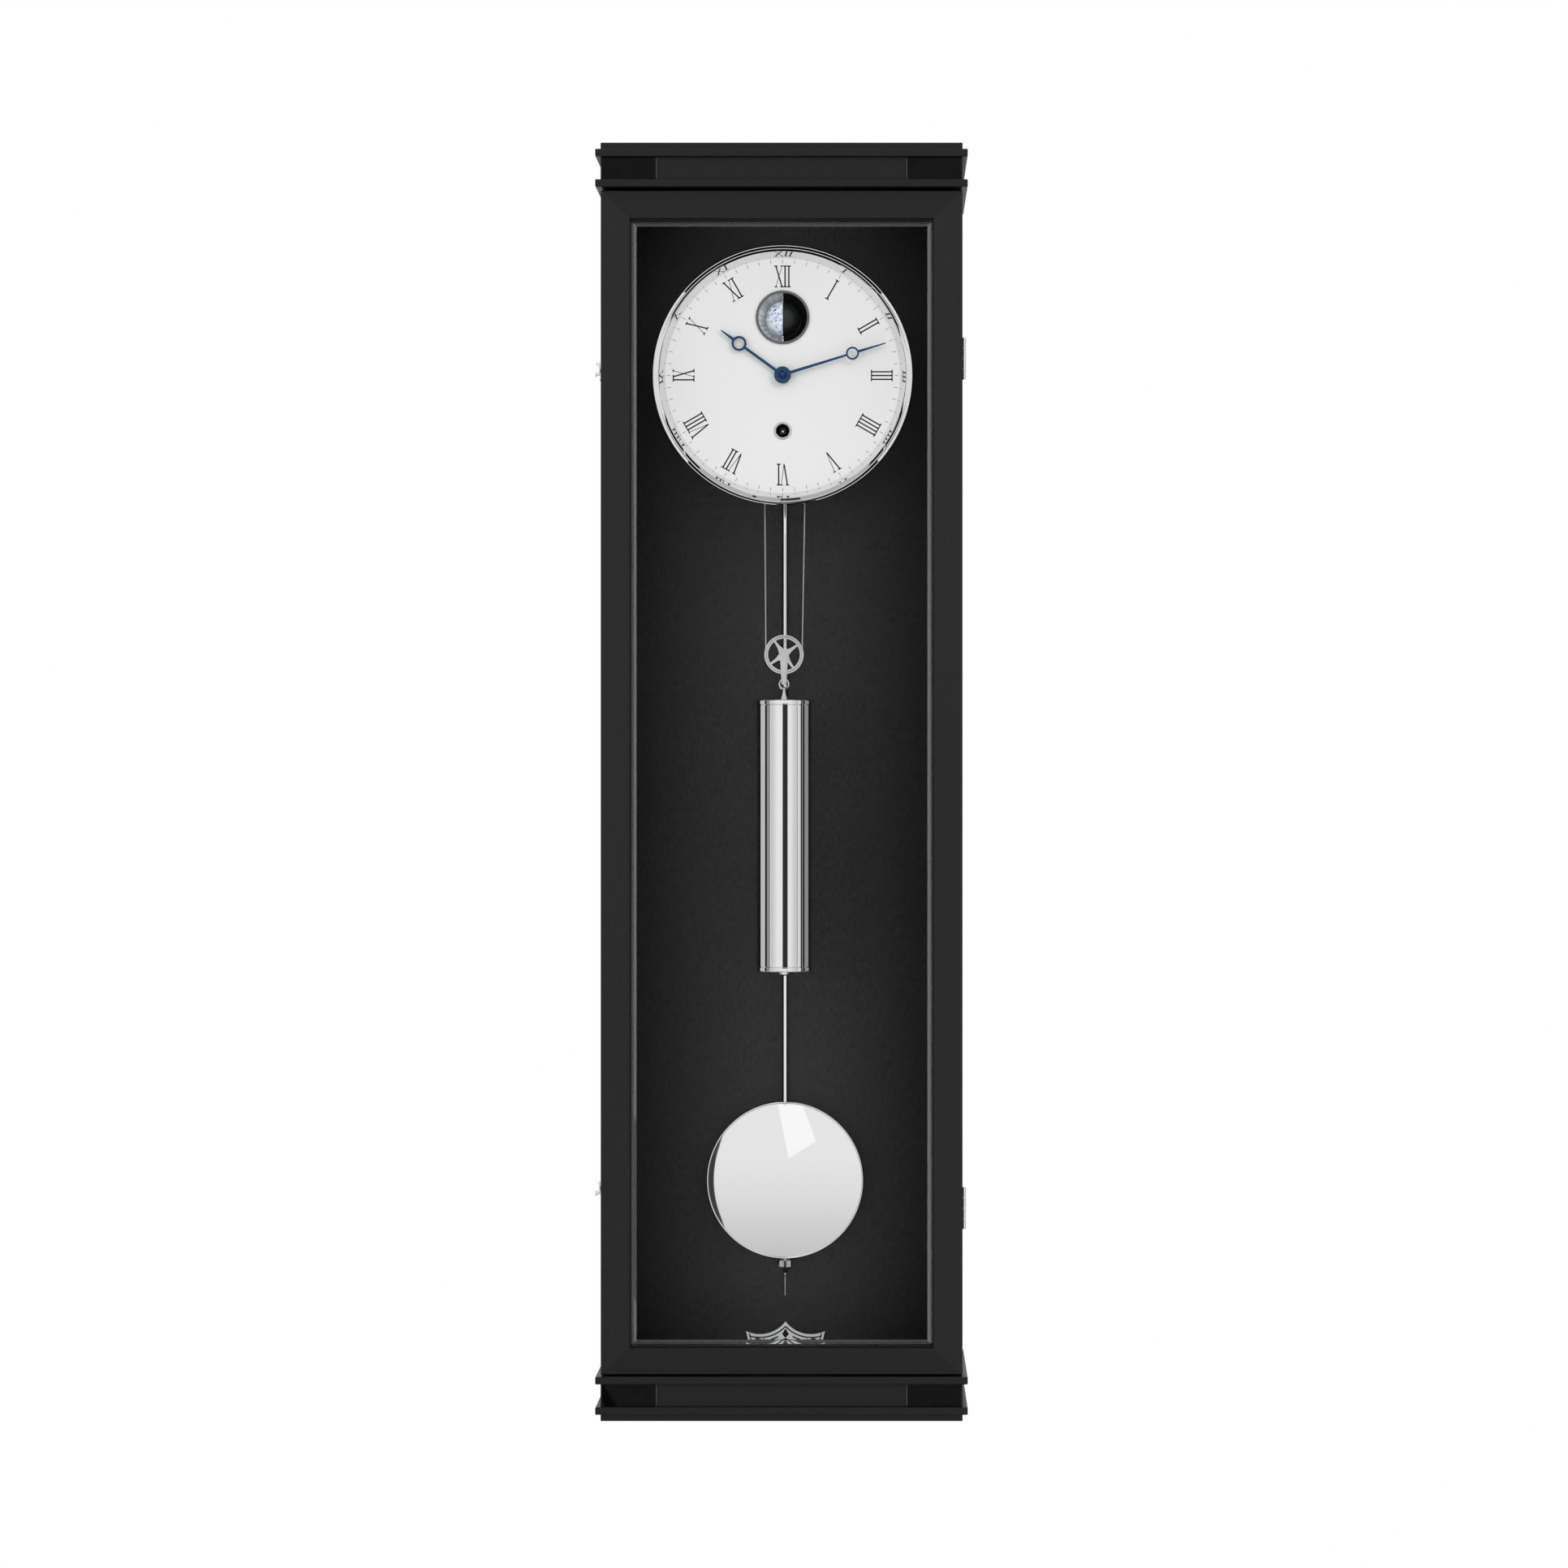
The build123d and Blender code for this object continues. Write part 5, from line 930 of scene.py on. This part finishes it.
cameraLook = {
    "place": (0.0735, -3.351, -0.4367),  # a little right of the clock's middle
    "angle": 21.91,
    "shift": -0.0578,  # brings the clock back to the middle of the picture
}
camera = bpy.data.objects.new("camera", bpy.data.cameras.new("camera"))
camera.location = cameraLook["place"]
camera.rotation_euler = (math.radians(90), 0, 0)
camera.data.angle = math.radians(cameraLook["angle"])
camera.data.shift_x = cameraLook["shift"]
camera.data.clip_end = 50
bpy.context.scene.collection.objects.link(camera)
bpy.context.scene.camera = camera

lamps = {
    "keySoftbox": {"place": (1.3, -2.3, 1.1), "size": (1.1, 1.1), "power": 17},
    "fillSoftbox": {"place": (-1.6, -2.2, 0.1), "size": (1.4, 1.4), "power": 9},
    "moonSnoot": {"place": (0.35, -1.5, 0.05), "size": (0.3, 0.3), "power": 4,
                  "only": (nodes["moon_ball"], moonCup)},
    "panelSnoot": {"place": (0.01, -1.0, -0.42), "size": (0.05, 1.2), "power": 0.8, "spread": 14,
                   "only": (nodes["back_panel"],)},
    "scaleSnoot": {"place": (0, -1.5, -0.5), "size": (0.4, 0.4), "power": 4,
                   "only": (nodes["beat_scale"], scalePrint)},
}
target = Vector((0, -0.1, -0.42))  # the middle of the clock


def lightOnly(source, receivers):
    lit = bpy.data.collections.new(source.name)
    for receiver in receivers:
        lit.objects.link(receiver)
    source.light_linking.receiver_collection = lit


for name, look in lamps.items():
    lamp = bpy.data.objects.new(name, bpy.data.lights.new(name, "AREA"))
    lamp.data.shape = "RECTANGLE"
    lamp.data.size, lamp.data.size_y = look["size"]
    lamp.data.energy = look["power"]
    lamp.location = look["place"]
    lamp.rotation_euler = (target - lamp.location).to_track_quat("-Z", "Y").to_euler()
    lamp.visible_camera = lamp.visible_glossy = False
    if "only" in look:  # a snoot that reaches past the door and lights its own pieces
        lamp.data.use_shadow = False
        lamp.data.spread = math.radians(look.get("spread", 180))
        lightOnly(lamp, look["only"])
    bpy.context.scene.collection.objects.link(lamp)

studioLook = {
    "window": [(-0.205, 0.175), (0.228, 0.169), (0.446, -0.45), (-0.016, -0.73)],  # across and up
    "windowY": -3.63,
    "windowGlow": 0.2,
    "weightFlag": (-0.018, 0.066, -0.60, -0.3625, 0.035),  # left, right, foot, top and glow
    "rodFlag": (-0.012, 0.036, -0.305, -0.215, 0),
    "flagY": -0.30,
    "bobFlag": (0.01, -0.805, 0.236, 0.026, 55),  # middle across and up, radius, width, half angle
    "bobFlagY": -0.43,
    "bobFlagGlow": 0.05,
    "weightCards": [(-0.1, 0.1055, 0.147, 0.3), (-0.1, 0.041, 0.089, 0.6),
                    (0.1, 0.1055, 0.136, 0.8), (0.1, 0.088, 0.093, 0.5),
                    (0.1, 0.021, 0.0706, 0.3)],  # across, back, front and glow
    "weightRise": (-0.95, -0.2),  # foot and top, so long that a moved weight mirrors them too
    "bezelCards": [(-0.122, 0.06, 0.15, 0.85), (0.122, 0.06, 0.15, 0.85)],
    "bezelRise": (-0.215, -0.002),
    "floorZ": -1.27,
    "floorY": -0.5,
}


def studioCard(name, points, glow, receiver=None):
    # a card that only mirrors see: with a receiver it adds its glow to that piece and is clear to
    # the rest, without one it is a flag, dark or faintly lit, that hides what is behind it
    card = startLine(name, [Vector(point) for point in points])
    bpy.ops.mesh.edge_face_add()
    bpy.ops.object.mode_set(mode="OBJECT")
    material = bpy.data.materials.new(name)
    material.use_nodes = True
    surface = addNode(material, "ShaderNodeEmission", inputs={"Strength": glow})
    if receiver:
        clear = addNode(material, "ShaderNodeBsdfTransparent")
        surface = addNode(material, "ShaderNodeAddShader",
                          links={0: surface.outputs[0], 1: clear.outputs[0]})
        lightOnly(card, [receiver])
    output = material.node_tree.nodes["Material Output"]
    join(material, surface.outputs[0], output.inputs["Surface"])
    card.data.materials.append(material)
    card.visible_camera = card.visible_diffuse = False
    card.visible_shadow = card.visible_transmission = False


windowPoints = [(x, studioLook["windowY"], z) for x, z in studioLook["window"]]
studioCard("litWindow", windowPoints, studioLook["windowGlow"], bob)
for name in ("weightFlag", "rodFlag"):
    left, right, foot, head, glow = studioLook[name]
    y = studioLook["flagY"]
    studioCard(name, [(left, y, head), (right, y, head), (right, y, foot), (left, y, foot)], glow)
for title, piece in (("weight", weight), ("bezel", bezel)):
    foot, head = studioLook[title + "Rise"]
    for count, (x, back, front, glow) in enumerate(studioLook[title + "Cards"]):
        corners = [(x, -back, head), (x, -front, head), (x, -front, foot), (x, -back, foot)]
        studioCard(f"{title}Cards{count}", corners, glow, piece)
across, rise, radius, width, half = studioLook["bobFlag"]
narrow = 1 - math.cos(math.radians(half))
shift = (radius - width / 2) * width / (radius * narrow - width)  # the circles meet at both tips
hollow = radius - width + shift
hollowHalf = math.degrees(math.asin(radius * math.sin(math.radians(half)) / hollow))
crescent = arcPoints((across, rise), radius, 180 - half, 180 + half, 32)
crescent += arcPoints((across + shift, rise), hollow, 180 + hollowHalf, 180 - hollowHalf, 32)[1:-1]
crescentPoints = [(x, studioLook["bobFlagY"], z) for x, z in crescent]
studioCard("bobFlag", crescentPoints, studioLook["bobFlagGlow"])

floor = startPiece("studioFloor", bpy.ops.mesh.primitive_plane_add, size=2)
bpy.ops.mesh.subdivide(number_cuts=3)
bpy.ops.transform.translate(value=(0, studioLook["floorY"], studioLook["floorZ"]))
bpy.ops.object.mode_set(mode="OBJECT")
floor.visible_glossy = False  # the chrome mirrors the even backdrop, without a horizon
floor.data.materials.append(speckled("paleStudioFloor", "#E2E2E2", "#E8E8E8", 40, 0.8, IOR=1.2))

worldLook = {
    "diffuse": 0.82,
    # what mirrors see, from straight below to straight above, and from the middle to either side
    "byHeight": [(0.0, 0.5), (0.27, 0.66), (0.42, 0.92), (0.5, 1.0), (1.0, 1.0)],
    "bySide": [(0.0, 1.0), (0.45, 1.0), (0.9, 0.6), (1.0, 0.6)],
}
world = bpy.data.worlds.new("studio")
bpy.context.scene.world = world
world.use_nodes = True
path = addNode(world, "ShaderNodeLightPath")
sky = addNode(world, "ShaderNodeTexCoord")
split = addNode(world, "ShaderNodeSeparateXYZ", links={"Vector": sky.outputs["Generated"]})
height = addNode(world, "ShaderNodeMapRange", inputs={"From Min": -1, "From Max": 1},
                 links={"Value": split.outputs["Z"]})
upTone = addNode(world, "ShaderNodeValToRGB", links={"Fac": height.outputs["Result"]},
                 tones=worldLook["byHeight"])
sideways = addNode(world, "ShaderNodeMath", {"operation": "ABSOLUTE"},
                   links={0: split.outputs["X"]})
sideTone = addNode(world, "ShaderNodeValToRGB", links={"Fac": sideways.outputs["Value"]},
                   tones=worldLook["bySide"])
tent = addNode(world, "ShaderNodeMix", {"data_type": "RGBA", "blend_type": "MULTIPLY"}, {0: 1},
               {6: upTone.outputs["Color"], 7: sideTone.outputs["Color"]})
shiny = addNode(world, "ShaderNodeMix", {"data_type": "RGBA"}, {6: grey(worldLook["diffuse"])},
                {0: path.outputs["Is Glossy Ray"], 7: tent.outputs[2]})
clear = addNode(world, "ShaderNodeMath", {"operation": "MAXIMUM"},
                links={0: path.outputs["Is Camera Ray"], 1: path.outputs["Is Transmission Ray"]})
backdrop = addNode(world, "ShaderNodeMix", {"data_type": "RGBA"}, {7: grey(1.0)},
                   {0: clear.outputs["Value"], 6: shiny.outputs[2]})
join(world, backdrop.outputs[2], world.node_tree.nodes["Background"].inputs["Color"])

bpy.context.scene.view_settings.view_transform = "Standard"
print("camera and light set")
